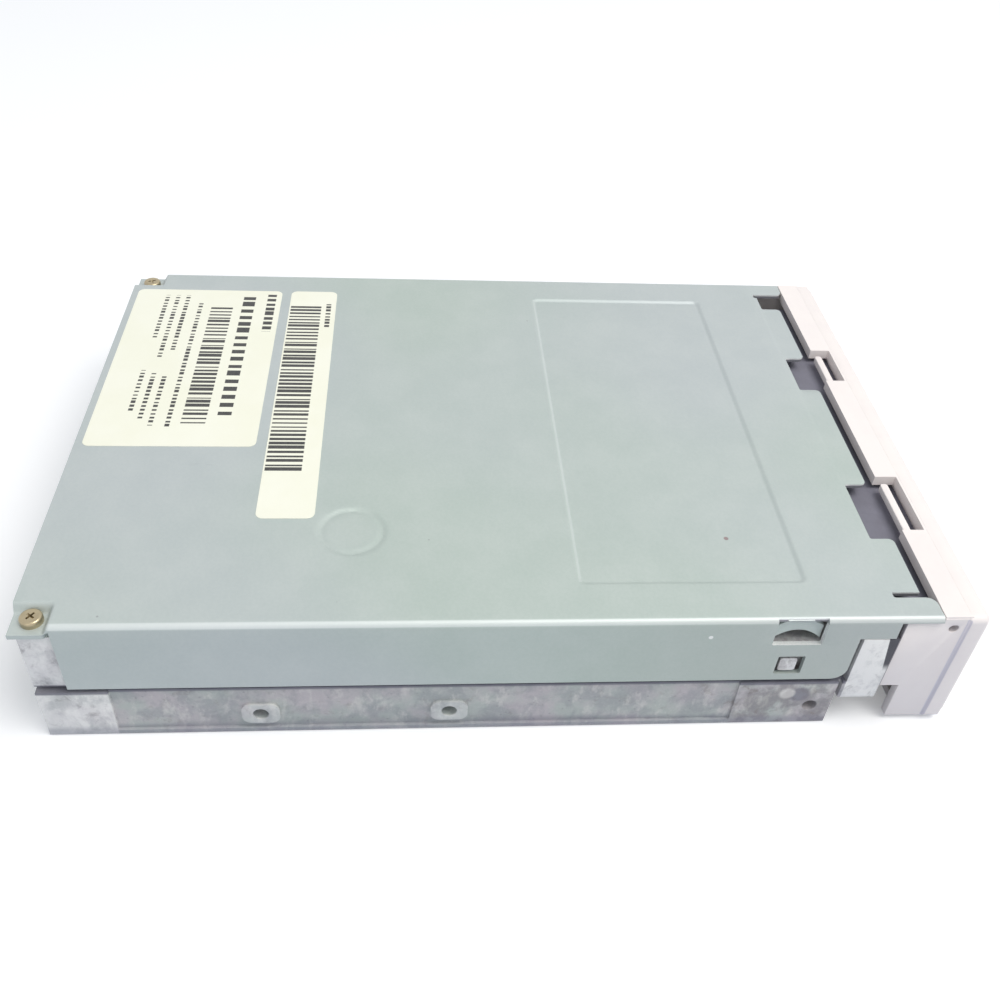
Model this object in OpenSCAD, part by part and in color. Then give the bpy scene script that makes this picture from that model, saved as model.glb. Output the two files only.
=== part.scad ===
// Floppy disk drive for 90 mm diskettes, one inch high, in millimetres.
// X is to the right seen from the front, the front panel faces -Y, and +Z is up.
// Heights are measured from the underside. Places along Y are measured from the back of the
// front panel's plate, and in_frame() moves them so that the origin lies under the middle.

/* [Diskette] */
// Width of the diskette
disk_w = 90; // [86:0.5:94]
// Length of the diskette
disk_l = 94; // [90:0.5:97]
// Free height for the diskette in its holder
bay_h = 4.4; // [4.2:0.1:5]
// Clearance beside the diskette
disk_gap = 0.25; // [0.15:0.05:0.5]

/* [Case] */
// Room behind the stepper motor for the connectors
connector_l = 26.1; // [24:0.1:36]
// Thickness of the sheet-steel cover
cover_t = 0.8; // [0.6:0.05:1.2]
// Depth of the cover's side skirts
skirt_depth = 14.1; // [12.5:0.1:15.5]
// Thickness of the casting's side walls
wall_t = 2.3; // [1.8:0.1:3]
// Width of the casting's foot rails
rail_w = 6; // [5.5:0.1:7]
// Thickness of the casting's deck
deck_t = 1.8; // [1.4:0.1:2.4]
// Thickness of the front panel's plate
plate_t = 3.3; // [2.8:0.1:4]
// Free height between the raised holder and the cover
top_room = 2.8; // [2.7:0.1:4]

/* [Mechanism] */
// Thickness of the diskette holder's sheet
holder_t = 0.8; // [0.6:0.05:1]
// Thickness of the eject slider's sheet
slider_t = 0.8; // [0.6:0.05:1]
// Way of the eject slider and its button
eject_travel = 6; // [5:0.1:7]
// Way of the diskette holder down to the spindle
drop = 2.6; // [2.3:0.1:2.8]
// Distance of the spindle behind the front plate
spindle_y = 43; // [42:0.1:45]
// Radius of the outermost track
track_r = 39.5; // [38:0.1:41]
// Way of the heads from the outermost to the innermost track
head_travel = 14.8; // [13:0.1:16]
// Lead of the screw that moves the heads
screw_lead = 3.75; // [2.5:0.05:5]
// Radius of the motor's rotor cup
rotor_r = 27.6; // [25:0.1:30]
// Height of the rotor cup
rotor_h = 4.6; // [4:0.1:5.4]
// Radius of the stepper motor
stepper_r = 7.5; // [6.5:0.1:8]
// Length of the stepper motor
stepper_l = 16; // [14:0.1:17]

/* [Fixings] */
// Thread core radius of the mounting holes
thread_r = 1.25; // [1:0.05:1.7]
// Depth of the mounting holes
thread_l = 5; // [4:0.1:5.3]
// Height of the side holes above the underside
side_hole_z = 4.4; // [3.5:0.1:6]
// Distance of the bottom holes from the middle
bottom_hole_x = 47.6; // [47:0.1:48.5]

/* [Hidden] */
$fn = 40;
// Overrun of every cut, and sink of a piece into what it is welded to
over = 1;
weld = 0.2;

// Widths from the diskette out to the cover
slider_gap = 0.3;
wall_gap = 0.45;
skirt_gap = 0.1;
holder_in = disk_w / 2 + disk_gap;
holder_out = holder_in + holder_t;
slider_in = holder_out + slider_gap;
slider_out = slider_in + slider_t;
wall_in = slider_out + wall_gap;
wall_out = wall_in + wall_t;
half_w = wall_out + skirt_gap + cover_t;
rail_in = half_w - rail_w;

// Heights from the underside up to the cover
board_z = 1.8;
motor_board_t = 1.2;
main_board_t = 1.6;
motor_board_top = board_z + motor_board_t;
main_board_top = board_z + main_board_t;
rotor_lift = 0.6;
rotor_z = motor_board_top + rotor_lift;
rotor_top = rotor_z + rotor_h;
deck_room = 0.4;
deck_z = rotor_top + deck_room;
deck_top = deck_z + deck_t;
slide_gap = 0.3;
slider_z = deck_top + slide_gap;
slider_top = slider_z + slider_t;
rail_room = 1.7;
rail_low_z = slider_top + rail_room;
disk_low_z = rail_low_z + holder_t;
disk_t = 3.3;
bay_z = disk_low_z + drop;
bay_top = bay_z + bay_h;
holder_top = bay_top + holder_t;
cover_in_z = holder_top + top_room;
drive_h = cover_in_z + cover_t;

// Places along the case
holder_room = 6.5;
holder_rear_y = spindle_y + disk_l / 2 + holder_room;
motor_gap = 4.5;
motor_face_y = holder_rear_y + motor_gap;
stepper_rear_y = motor_face_y + stepper_l;
terminal_l = 2.4;
body_l = stepper_rear_y + terminal_l + connector_l;
button_proud = 0.8;
front_y = -plate_t - button_proud;
shift_y = -(front_y + body_l) / 2;
deck_front_y = 10.5;
skirt_front_y = 17;
skirt_end = 6;
skirt_rear_y = body_l - skirt_end;
rail_front_y = 17.5;
rail_rear_inset = 1;
rail_rear_y = body_l - rail_rear_inset;

// Cover
fold_r = 1;
nose_y = 11.2;
nose_depth = 4.4;
tongue_w = 4.8;
tongue_y = 4.5;
lip_y = 6.6;
lip_r = 1;
cut_rear_y = 10.6;
slit_rear_y = 11.3;
slit_w = 1.1;
right_cut_in = 10.8;
right_cut_out = 5;
mid_cut_low = 9.9;
mid_cut_high = 20.9;
left_cut_low = 18.7;
left_cut_high = 32.6;
cuts_x = [[half_w - right_cut_in, half_w - right_cut_out], [mid_cut_low, mid_cut_high],
    [-left_cut_high, -left_cut_low]];
skirt_corner_r = 2;
tab_w = 4.6;
tab_l = 5.2;
tab_inset = 0.3;
tab_drop = 1.6;
tab_r = 1.2;
emboss_depth = 0.4;
emboss_margin = 2.4;
emboss_w = disk_w - 2 * emboss_margin;
emboss_l = 36.6;
emboss_shift = 0.3;
emboss_y = spindle_y - emboss_shift;
emboss_r = 1.2;
dimple_r = 5.6;
dimple_x = -30.6;
dimple_ahead = 4.3;
dimple_y = motor_face_y - dimple_ahead;
dimple_rim = 0.7;
window_y = 22.8;
window_l = 8.4;
window_depth = 5.4;
lance_t = 0.5;
lance_inset = 1.2;
lance_gap = 0.9;
lance_r = 5.4;
lug_y = 25.2;
lug_l = 3.7;
lug_z = 13.1;
lug_h = 3.6;
lug_proud = 0.6;
lug_gap = 0.35;

// Cover screws
screw_inset = 2.8;
screw_rear = 3;
screw_x = half_w - screw_inset;
screw_y = body_l - screw_rear;
screw_r = 1;
screw_l = 6;
head_r = 1.7;
head_h = 1.2;
cross_w = 0.5;
cross_l = 2.2;
cross_depth = 0.6;
tab_hole_r = 1.25;

// Labels
label_t = 0.08;
label_r = 1.5;
large_label_w = 52.8;
large_label_l = 29.8;
large_label_gap = 7;
large_label_x = half_w - large_label_gap - large_label_w;
large_label_ahead = 31.1;
large_label_y = body_l - large_label_ahead;
narrow_label_w = 71.5;
narrow_label_l = 9.6;
narrow_label_gap = 6.9;
narrow_label_x = half_w - narrow_label_gap - narrow_label_w;
narrow_label_ahead = 42.6;
narrow_label_y = body_l - narrow_label_ahead;

// Casting
rail_h = 10.5;
wall_top_gap = 0.2;
wall_top = cover_in_z - wall_top_gap;
post_z = 6.5;
post_gap = 0.2;
rail_recess = 0.5;
recess_z = 0.9;
recess_front_y = 34;
pad_l = 10.8;
boss_l = 6;
boss_h = 4.6;
side_hole_front = 21;
side_hole_mid = 81;
side_hole_rear = 111;
side_holes_y = [side_hole_front, side_hole_mid, side_hole_rear];
bottom_hole_front = 31;
bottom_hole_rear = 101;
bottom_holes_y = [bottom_hole_front, bottom_hole_rear];
oval_y = 25.5;
oval_z = 7.6;
oval_l = 3.4;
oval_h = 2;
oval_proud = 0.15;
corner_l = 5.4;
corner_w = 8;
cross_gap = 1.5;
cross_y = stepper_rear_y + cross_gap;
cross_len = 5;
foot_bar_l = 4;
foot_bar_t = 1.2;
foot_bar_z = 0.3;
well_r = 14;
front_slot_x = 9.5;
well_left_x = -32;
well_right_x = 26;
carriage_front_ahead = 25.5;
carriage_front_y = cross_y - carriage_front_ahead;
well_room = 3.7;
well_y = carriage_front_y - head_travel - well_room;
front_pin_y = 36;
rear_pin_y = 80;
pin_y = [front_pin_y, rear_pin_y];
pin_r = 1.2;
pin_gap = 0.25;
pin_rise = 2.6;
pin_z = bay_z + pin_rise;
pin_reach = 1.1;
groove_depth = 1.5;
groove_low = 1;
post_r = 2;
strip_reach = 2.75;
slider_strip_x = holder_in - strip_reach;
spring_inset = 3.68;
spring_x = slider_strip_x - spring_inset;
switch_inset = 3.75;
switch_outer_x = holder_in - switch_inset;
switch_spread = 8.5;
post_spread = 17.5;
front_post_x = switch_outer_x - post_spread;
front_post_in = 4;
front_post_y = deck_front_y + front_post_in;
rear_post_in = 4.5;
rear_post_x = slider_strip_x - rear_post_in;
rear_post_ahead = 4;
rear_post_y = spindle_y + disk_l / 2 - rear_post_ahead;
peg_y = 36.5;
peg_r = 0.8;
peg_h = 2.8;
board_boss_r = 2.5;
board_gap = 0.5;
board_edge = rail_in - board_gap;
boss_inset = 6.3;
motor_boss_x = board_edge - boss_inset;
motor_board_y = 18;
motor_board_end = 2.9;
motor_board_rear = spindle_y + rotor_r + motor_board_end;
motor_boss_in = 6;
motor_boss_front = motor_board_y + motor_boss_in;
motor_boss_end = 7.5;
motor_boss_rear = motor_board_rear - motor_boss_end;
motor_boss_y = [motor_boss_front, motor_boss_rear];
boards_gap = 1.5;
main_board_y = motor_board_rear + boards_gap;
main_boss_x = motor_boss_x;
main_boss_in = 7;
main_boss_y = main_board_y + main_boss_in;
lug_inset = 3.3;
lug_board_x = board_edge - lug_inset;
lug_board_w = 6;
lug_board_h = 3;
lug_board_inset = 22;
inner_screw_r = 1;
inner_head_r = 2.1;
inner_head_h = 1;
inner_screw_l = 4;

// Front panel
bezel_low = 0.4;
bezel_r = 1.2;
bezel_chamfer = 0.8;
bezel_back_t = 2.4;
flange_inset = 0.4;
flange_t = 1.6;
top_flange_l = 4.3;
side_flange_l = 10.2;
low_flange_l = 6.8;
low_flange_top = 8.9;
under_flange_l = 5;
slot_margin = 0.95;
slot_low = 0.4;
slot_high = 0.3;
thumb_r = 24;
thumb_depth = 1.2;
thumb_rise = 2;
right_clip_low = 13.1;
right_clip_high = 23.9;
left_clip_low = 30.5;
left_clip_high = 16.6;
clips_x = [[right_clip_low, right_clip_high], [-left_clip_low, -left_clip_high]];
clip_slot_y = 0.4;
clip_ledge_drop = 0.9;
clip_ledge_t = 1.2;
clip_slit_y = 1.4;
clip_slit_l = 1.3;
clip_end = 2.1;
clip_finger_y = 2.8;
clip_finger_t = 1.2;
clip_finger_drop = 0.1;
finger_gap = 0.1;
mark_r = 1.1;
mark_y = 2.3;
mark_z = 22.8;
mark_depth = 0.6;

// Door in the slot
door_t = 0.8;
door_gap = 0.3;
door_hinge_drop = 0.7;
door_y = -1.7;
door_pin_r = 0.45;
door_pin_l = 0.9;
door_pin_gap = 0.05;
door_top_gap = 0.35;
pocket_w = 1.5;
pocket_wall = 0.5;
pocket_r = 1.3;
door_coil_r = 0.75;
door_wire_r = 0.12;
door_spring_turns = 2;

// Button and its arm
button_inset = 16.8;
button_x = half_w - button_inset;
button_w = 14;
button_h = 5.6;
button_z = 3.6;
button_gap = 0.25;
button_r = 0.7;
button_back_y = 7.2;
button_arm_w = 7;
button_tab_low = 4.6;

// Light
led_inset = 12.8;
led_x = led_inset - half_w;
led_w = 5;
led_h = 2;
led_z = 5.6;
led_proud = 0.3;
led_back_y = 3.6;
led_gap = 0.1;
led_rim = 0.6;
led_rim_t = 1;
lead_w = 0.5;
lead_pitch = 2.5;
lead_end_y = 20;

// Spindle motor
bearing_r = 4;
bearing_flange_r = 6;
bearing_flange_t = 1;
bearing_low = 0.4;
bearing_high = 0.2;
shaft_r = 2;
shaft_gap = 0.04;
shaft_low = 0.4;
cup_t = 0.8;
cup_wall = 1;
magnet_t = 2.4;
air_gap = 0.8;
teeth = 9;
tooth_w = 3;
tooth_tip_w = 10;
tooth_tip_t = 1.4;
core_ring_t = 5;
core_z = 1;
core_h = 2.2;
coil_start = 1.6;
coil_gap = 1.2;
coil_w = 6;
coil_over = 0.65;
hub_r = 12;
hub_rise = 0.3;
hub_magnet_in = 4.6;
hub_magnet_out = 8;
hub_magnet_t = 1;
drive_pin_r = 1;
drive_pin_x = 10;
shaft_rise = 1.3;
index_gap = 3.2;
index_x = rotor_r + index_gap;
index_l = 3;
index_w = 4;
index_h = 1.5;
driver_place_share = [-0.8, 0.217];
driver_w = 7;
driver_l = 8;
driver_h = 2;

// Boards, plugs and parts behind the motor
main_board_rear = 1.5;
pitch = 2.54;
columns = 17;
signal_x = -14;
header_inset = 8.5;
header_y = body_l - header_inset;
header_l = 3;
header_h = 6;
header_margin = 1.25;
pin_w = 0.64;
pin_inset = 0.7;
pin_end_y = body_l - pin_inset;
row_z = 1.7;
near_leg = 1.2;
far_leg = 2.6;
leg_y = [near_leg, far_leg];
power_inset = 14.3;
power_x = board_edge - power_inset;
power_pitch = 2.5;
power_pins = 4;
power_w = 13.4;
power_wall = 1.3;
power_l = 9;
power_h = 6.2;
power_pin_r = 0.5;
power_pin_z = 3.6;
power_rear = 0.8;
chip_w = 14;
chip_h = 2.2;
chip_place_share = [0.655, 0.348];
chip_leg = 1;
chip_leg_t = 0.3;
chip_leg_w = 0.45;
chip_legs = 11;
can_r = 2.6;
can_h = 4.4;
can_share = [[0.86, 0.52], [0.86, 0.61]];
brick_w = 3.2;
brick_l = 1.6;
brick_h = 1.2;
brick_share = [[0.27, 0.34], [0.14, 0.34], [0, 0.34], [0.27, 0.42], [0.14, 0.42], [0, 0.42],
    [-0.86, 0.3], [-0.86, 0.37], [-0.86, 0.44]];
link_x = 27;
link_w = 10;
link_t = 0.2;
link_reach = 2.6;
link_rise = 1.2;
socket_l = 3;
socket_h = 2.2;

// Head carriage and its drive
rod_rise = 1.4;
rod_z = deck_top + rod_rise;
rod_r = 1.25;
rod_gap = 0.04;
main_rod_x = 20;
side_rod_x = -12;
rod_ahead = 5.5;
rod_front_y = well_y - rod_ahead;
rod_behind = 3.5;
rod_rear_y = cross_y + rod_behind;
clamp_half_w = 2.8;
clamp_l = 3;
clamp_h = 3.2;
clamp_inset = 0.8;
screw_axis_x = -24;
screw_core_r = 1.2;
screw_thread_r = 0.3;
screw_nose_r = 0.7;
screw_nose_l = 3;
follow_ahead = 11;
follow_l = 4;
follow_front_y = motor_face_y - follow_ahead;
screw_ahead = 1.2;
screw_front_y = follow_front_y - head_travel - screw_ahead;
bracket_t = 1.2;
bracket_front_x = -16;
bracket_proud = 1.5;
bracket_out_x = -slider_strip_x - bracket_proud;
bracket_z = 5;
bracket_top = 19;
bracket_foot_l = 6;
bracket_foot_w = 10;
bracket_foot_x = bracket_out_x + bracket_foot_w;
stepper_nose_r = 3;
stepper_nose_l = 1.4;
stepper_rim = 0.5;
stepper_rim_t = 0.6;
terminal_w = 10;
terminal_h = 3.6;
head_y = spindle_y + track_r;
carriage_low = 9;
carriage_top = rail_low_z;
nose_half_w = 8.5;
nose_front = 6.5;
nose_lap = 2;
body_end = 3.5;
body_rear_y = cross_y - body_end;
body_left_x = -8.5;
body_right_x = 17;
carriage_rise = 1.8;
carriage_high = rod_z + carriage_rise;
sleeve_half_w = 2.6;
sleeve_front = 24.5;
sleeve_rear = 8.5;
fork_half_w = 2.6;
fork_front = 20.5;
fork_rear = 16.5;
follow_low_t = 1.2;
follow_x = -22.4;
follower_t = 1.2;
follower_gap = 0.12;
flag_x = 11;
flag_t = 0.6;
flag_front = 7;
flag_rear = 1;
flag_low = 5;
zero_half_w = 3;
zero_slot = 1.5;
zero_h = 4.8;
zero_base = 1.2;
head_half_w = 3;
head_half_l = 2.2;
head_air = 0.05;
hinge_ahead = 6.5;
hinge_y = cross_y - hinge_ahead;
hinge_rise = 3.2;
hinge_z = disk_low_z + hinge_rise;
ear_t = 1.4;
ear_gap = 0.2;
ear_half_l = 3;
ear_top = 1.4;
hinge_r = 0.8;
arm_barrel_r = 1.5;
arm_half_w = 7;
arm_tip = 4.5;
arm_t = 1;
arm_low = 0.7;
arm_raise_angle = 9;
arm_tip_half_w = 4.5;
arm_taper_y = 14;
lift_ear_x = 12.5;
lift_ear_y = 18;
lift_ear_l = 4;
lift_ear_z = 2.2;
lift_ear_t = 0.6;
lift_ear_w = 2;
arm_slot_x = 10;
coil_step_count = 10;
wire_side_count = 6;
arm_coil_r = 1.35;
arm_wire_r = 0.2;
arm_spring_turns = 4;
flex_w = 12;
flex_t = 0.2;
flex_z = 12.2;
flex_room = 11;
flex_run_y = body_l - header_inset - flex_room;
flex_bend_r = 3.5;
stepper_cable_w = 9;
stepper_cable_z = 7;
stepper_cable_r = 1.2;
stepper_socket_gap = 4.5;
stepper_socket_y = stepper_rear_y + stepper_socket_gap;

// Holder, slider and lever
holder_y = 7.5;
holder_rail_y = 18;
holder_rail_w = 3.25;
arm_slot_room = 7.7;
arm_slot_y = head_y - head_travel - arm_slot_room;
stop_in = 14;
stop_out = 30;
stop_low = 0.6;
rivet_r = 0.7;
lever_x = -19;
lever_ahead = 1.5;
lever_y = spindle_y + disk_l / 2 - lever_ahead;
lever_room = 2.25;
lever_reach = holder_in + lever_x - lever_room;
lever_rest_angle = 248;
lever_end_angle = 172.8;
lever_half_w = 2.6;
lever_t = 0.8;
lever_gap = 0.2;
lever_eye_r = 3.4;
finger_r = 1.4;
finger_low = 0.5;
arc_slack_angle = 4.6;
arc_gap = 0.45;
rivet_head_r = 2.4;
rivet_head_t = 0.3;
lever_spring_room = 1;
lever_pin_r = 1.5;
lever_pin_gap = 0.05;
lever_coil_r = 2.1;
lever_wire_r = 0.12;
lever_spring_turns = 1;
lever_coil_gap = 0.16;
slider_hub_gap = 1.5;
slider_behind = 4;
slider_rear_y = rear_pin_y + eject_travel + slider_behind;
slider_high = 5.2;
slider_bar_l = 5.5;
slider_y = spindle_y - hub_r - slider_hub_gap - slider_bar_l;
tab_y = 69;
tab_t = 0.8;
tab_h = 2.5;
spring_rise = 1.6;
spring_z = deck_top + spring_rise;
spring_r = 1;
spring_wire_r = 0.22;
spring_turns = 12;
spring_end = 2.4;

// Sensor switches
switch_y = 13.4;
switch_half = 2.4;
switch_h = 2.6;
plunger_r = 0.85;
plunger_gap = 0.06;
plunger_travel = 1.1;
plunger_foot = 0.15;

// Plain building blocks

module block(lo, hi) {
    translate(lo) cube(hi - lo);
}

module both_sides() {
    children();
    mirror([1, 0, 0]) children();
}

module pin_x(r, x0, x1, y, z) {
    translate([x0, y, z]) rotate([0, 90, 0]) cylinder(r = r, h = x1 - x0);
}

module pin_y(r, y0, y1, x, z) {
    translate([x, y0, z]) rotate([-90, 0, 0]) cylinder(r = r, h = y1 - y0);
}

module pin_z(r, z0, z1, x, y) {
    translate([x, y, z0]) cylinder(r = r, h = z1 - z0);
}

module round_rect(w, l, r) {
    translate([r, 0]) square([w - 2 * r, l]);
    translate([0, r]) square([w, l - 2 * r]);
    for (x = [r, w - r], y = [r, l - r]) translate([x, y]) circle(r);
}

// Lying plate with round corners
module round_plate(lo, hi, r) {
    size = hi - lo;
    translate(lo) linear_extrude(size[2]) round_rect(size[0], size[1], r);
}

// Standing plate with round corners, its thickness along Y
module round_wall(lo, hi, r) {
    size = hi - lo;
    translate([lo[0], hi[1], lo[2]]) rotate([90, 0, 0])
        linear_extrude(size[1]) round_rect(size[0], size[2], r);
}

// Straight slot with round ends through a wall along X, from one centre to another
module slot_x(r, x0, x1, from, to) {
    run = to - from;
    pin_x(r, x0, x1, from[0], from[1]);
    pin_x(r, x0, x1, to[0], to[1]);
    translate([x0, from[0], from[1]]) rotate([atan2(run[1], run[0]), 0, 0])
        translate([0, 0, -r]) cube([x1 - x0, norm(run), 2 * r]);
}

// Ring sector, lying, about the lever's pivot
module arc_slot(radius, r, from, to, z0, z1) {
    translate([lever_x, lever_y, z0]) rotate([0, 0, from]) rotate_extrude(angle = to - from)
        translate([radius - r, 0]) square([2 * r, z1 - z0]);
}

// Round wire along a path. Each entry of path is [point, normal], and rings follow the normals.
function unit(v) = v / norm(v);
function heading(path, i) =
    unit(path[min(i + 1, len(path) - 1)][0] - path[max(i - 1, 0)][0]);
function ring(at, normal, ahead, r, sides) =
    let (n = unit(normal - (normal * ahead) * ahead), b = cross(ahead, n))
    [for (k = [0 : sides - 1]) at + r * (cos(360 * k / sides) * n + sin(360 * k / sides) * b)];

module wire(path, r, sides = wire_side_count) {
    rings = len(path);
    points = [for (i = [0 : rings - 1]) each ring(path[i][0], path[i][1], heading(path, i), r, sides)];
    sides_faces = [for (i = [0 : rings - 2], k = [0 : sides - 1])
        let (a = i * sides + k, b = i * sides + (k + 1) % sides)
        each [[a, a + sides, b], [b, a + sides, b + sides]]];
    ends = [[for (k = [0 : sides - 1]) k], [for (k = [sides - 1 : -1 : 0]) (rings - 1) * sides + k]];
    polyhedron(points, concat(sides_faces, ends));
}

// Coil along Y from start to end, of the given middle radius and turns
function coil_path(start, l, r, turns) =
    [for (i = [0 : turns * coil_step_count])
        let (a = 360 * i / coil_step_count, out = [cos(a), 0, sin(a)])
        [start + r * out + [0, l * i / (turns * coil_step_count), 0], out]];

module coil_y(start, l, r, wire_r, turns) {
    wire(coil_path(start, l, r, turns), wire_r);
}

// Steel cover

module cover_shell() {
    translate([-half_w, body_l, 0]) rotate([90, 0, 0]) linear_extrude(body_l - tongue_y) {
        difference() {
            union() {
                translate([0, drive_h - skirt_depth])
                    square([2 * half_w, skirt_depth - fold_r]);
                translate([fold_r, drive_h - fold_r]) square([2 * (half_w - fold_r), fold_r]);
                for (x = [fold_r, 2 * half_w - fold_r])
                    translate([x, drive_h - fold_r]) circle(fold_r);
            }
            translate([cover_t, drive_h - skirt_depth - over])
                square([2 * (half_w - cover_t), skirt_depth + over - cover_t]);
        }
    }
}

// What is cut away from one side skirt, to leave its stepped front and rear ends
module skirt_cuts() {
    low_z = drive_h - skirt_depth - over;
    edge_x = half_w - cover_t - weld;
    far_x = half_w + over;
    block([edge_x, tongue_y - over, low_z], [far_x, nose_y, cover_in_z]);
    block([edge_x, nose_y - over, low_z], [far_x, skirt_front_y, drive_h - nose_depth]);
    block([edge_x, skirt_rear_y, low_z], [far_x, body_l + over, cover_in_z]);
    difference() {
        block([edge_x, skirt_front_y - over, low_z],
            [far_x, skirt_front_y + skirt_corner_r, drive_h - skirt_depth + skirt_corner_r]);
        pin_x(skirt_corner_r, edge_x - over, far_x + over, skirt_front_y + skirt_corner_r,
            drive_h - skirt_depth + skirt_corner_r);
    }
}

module front_cuts() {
    low_z = cover_in_z - over;
    high_z = drive_h + over;
    inner_x = half_w - tongue_w;
    block([-inner_x, tongue_y - over, low_z], [inner_x, lip_y, high_z]);
    for (c = cuts_x)
        block([c[0], tongue_y - over, low_z], [c[1], cut_rear_y, high_z]);
    for (c = cuts_x, end = [[c[0], -1], [c[1], 1]])
        difference() {
            translate([end[0] + end[1] * lip_r / 2, lip_y + lip_r / 2 - weld / 2, drive_h])
                cube([lip_r + 2 * weld, lip_r + weld, 2 * (cover_t + over)], center = true);
            pin_z(lip_r, low_z - over, high_z + over, end[0] + end[1] * lip_r, lip_y + lip_r);
        }
    block([cuts_x[0][1] - slit_w, cut_rear_y - over, low_z], [cuts_x[0][1], slit_rear_y, high_z]);
    block([-inner_x, cut_rear_y, low_z], [-inner_x + slit_w, slit_rear_y, high_z]);
}

// Lowered corner tab for a screw, with the step that joins it to the top
module corner_tab() {
    in_x = half_w - tab_w;
    front = body_l - tab_inset - tab_l;
    tab_z = cover_in_z - tab_drop;
    round_plate([in_x - cover_t, front - cover_t, tab_z],
        [half_w, body_l - tab_inset, tab_z + cover_t], tab_r);
    block([in_x - cover_t, front - cover_t, tab_z], [in_x, body_l - tab_inset, drive_h]);
    block([in_x - cover_t, front - cover_t, tab_z], [half_w - fold_r, front, drive_h]);
}

module side_window() {
    top = drive_h + over;
    block([half_w - cover_t - fold_r, window_y, drive_h - window_depth],
        [half_w + over, window_y + window_l, top]);
    block([half_w - cover_t - over, lug_y - lug_gap, lug_z - lug_gap],
        [half_w + over, lug_y + lug_l + lug_gap, lug_z + lug_h + lug_gap]);
}

// Spring tongue pressed inwards in the window of the fold
module lance() {
    mid_y = window_y + window_l / 2;
    foot_z = drive_h - window_depth;
    intersection() {
        difference() {
            pin_z(lance_r, foot_z - weld, drive_h - lance_gap, half_w + lance_r - lance_inset - lance_t,
                mid_y);
            pin_z(lance_r - lance_t, foot_z - over, drive_h + over,
                half_w + lance_r - lance_inset - lance_t, mid_y);
        }
        block([half_w - cover_t - lance_inset, window_y - weld, foot_z - weld],
            [half_w - weld, window_y + window_l + weld, drive_h - lance_gap]);
    }
}

module top_cover() {
    emboss_lo = [-emboss_w / 2, emboss_y - emboss_l / 2];
    emboss_hi = -emboss_lo + [0, 2 * emboss_y];
    pad_z = cover_in_z - emboss_depth;
    color("#b9c3c4") {
        difference() {
            union() {
                difference() {
                    cover_shell();
                    both_sides() skirt_cuts();
                    both_sides() block([half_w - tab_w - cover_t, body_l - tab_inset - tab_l - cover_t,
                        cover_in_z - over], [half_w + over, body_l + over, drive_h + over]);
                }
                both_sides() corner_tab();
                round_plate([emboss_lo[0], emboss_lo[1], pad_z],
                    [emboss_hi[0], emboss_hi[1], cover_in_z + weld], emboss_r);
                pin_z(dimple_r, pad_z, cover_in_z + weld, dimple_x, dimple_y);
            }
            round_plate([emboss_lo[0] + cover_t, emboss_lo[1] + cover_t, drive_h - emboss_depth],
                [emboss_hi[0] - cover_t, emboss_hi[1] - cover_t, drive_h + over], emboss_r);
            pin_z(dimple_r - dimple_rim, drive_h - emboss_depth, drive_h + over, dimple_x, dimple_y);
            front_cuts();
            both_sides() side_window();
            both_sides() pin_z(tab_hole_r, cover_in_z - tab_drop - over, drive_h + over, screw_x, screw_y);
        }
        both_sides() lance();
    }
}

module cover_screws() {
    seat_z = drive_h - tab_drop;
    color("#b9a468") both_sides() difference() {
        union() {
            pin_z(screw_r, seat_z - screw_l, seat_z + weld, screw_x, screw_y);
            pin_z(head_r, seat_z, seat_z + head_h, screw_x, screw_y);
        }
        for (turn = [0, 90])
            translate([screw_x, screw_y, seat_z + head_h]) rotate([0, 0, turn])
                cube([cross_l, cross_w, 2 * cross_depth], center = true);
    }
}

module label(x, y, w, l) {
    color("#e6dfc6") round_plate([x, y, drive_h], [x + w, y + l, drive_h + label_t], label_r);
}

module large_label() {
    label(large_label_x, large_label_y, large_label_w, large_label_l);
}

module narrow_label() {
    label(narrow_label_x, narrow_label_y, narrow_label_w, narrow_label_l);
}

// Die-cast frame

module side_rail() {
    difference() {
        block([rail_in, rail_front_y, 0], [half_w, rail_rear_y, rail_h]);
        block([half_w - rail_recess, recess_front_y, recess_z],
            [half_w + over, rail_rear_y - pad_l, rail_h + over]);
    }
    for (y = side_holes_y)
        round_wall_x([half_w - rail_recess - weld, y - boss_l / 2, side_hole_z - boss_h / 2],
            [half_w, y + boss_l / 2, side_hole_z + boss_h / 2], boss_h / 3);
}

// Flat oval left by the casting's ejector
module oval_pad() {
    round_wall_x([half_w - weld, oval_y - oval_l / 2, oval_z - oval_h / 2],
        [half_w, oval_y + oval_l / 2, oval_z + oval_h / 2], oval_h / 2.2);
}

// Standing plate with round corners, its thickness along X
module round_wall_x(lo, hi, r) {
    size = hi - lo;
    translate(lo) rotate([90, 0, 90]) linear_extrude(size[0]) round_rect(size[1], size[2], r);
}

module side_wall() {
    tab_under = cover_in_z - tab_drop;
    tab_front = body_l - tab_inset - tab_l - cover_t;
    difference() {
        block([wall_in, deck_front_y, rail_h - weld], [wall_out, rail_rear_y, wall_top]);
        block([wall_in - over, tab_front - post_gap, tab_under - post_gap],
            [wall_out + over, body_l, wall_top + over]);
        block([wall_in - over, window_y - lug_gap, drive_h - window_depth - lug_gap],
            [wall_out + over, window_y + window_l + lug_gap, wall_top + over]);
        for (y = pin_y)
            block([wall_in - over, y - pin_r - pin_gap, rail_low_z],
                [wall_in + groove_depth, y + pin_r + pin_gap, pin_z + pin_r + groove_low]);
    }
    block([wall_in, deck_front_y, post_z], [wall_out, rail_front_y + weld, rail_h]);
    block([wall_in, deck_front_y, post_z],
        [half_w, skirt_front_y - post_gap, drive_h - nose_depth - post_gap]);
    block([wall_out - weld, lug_y, lug_z], [wall_out + lug_proud, lug_y + lug_l, lug_z + lug_h]);
}

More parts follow.
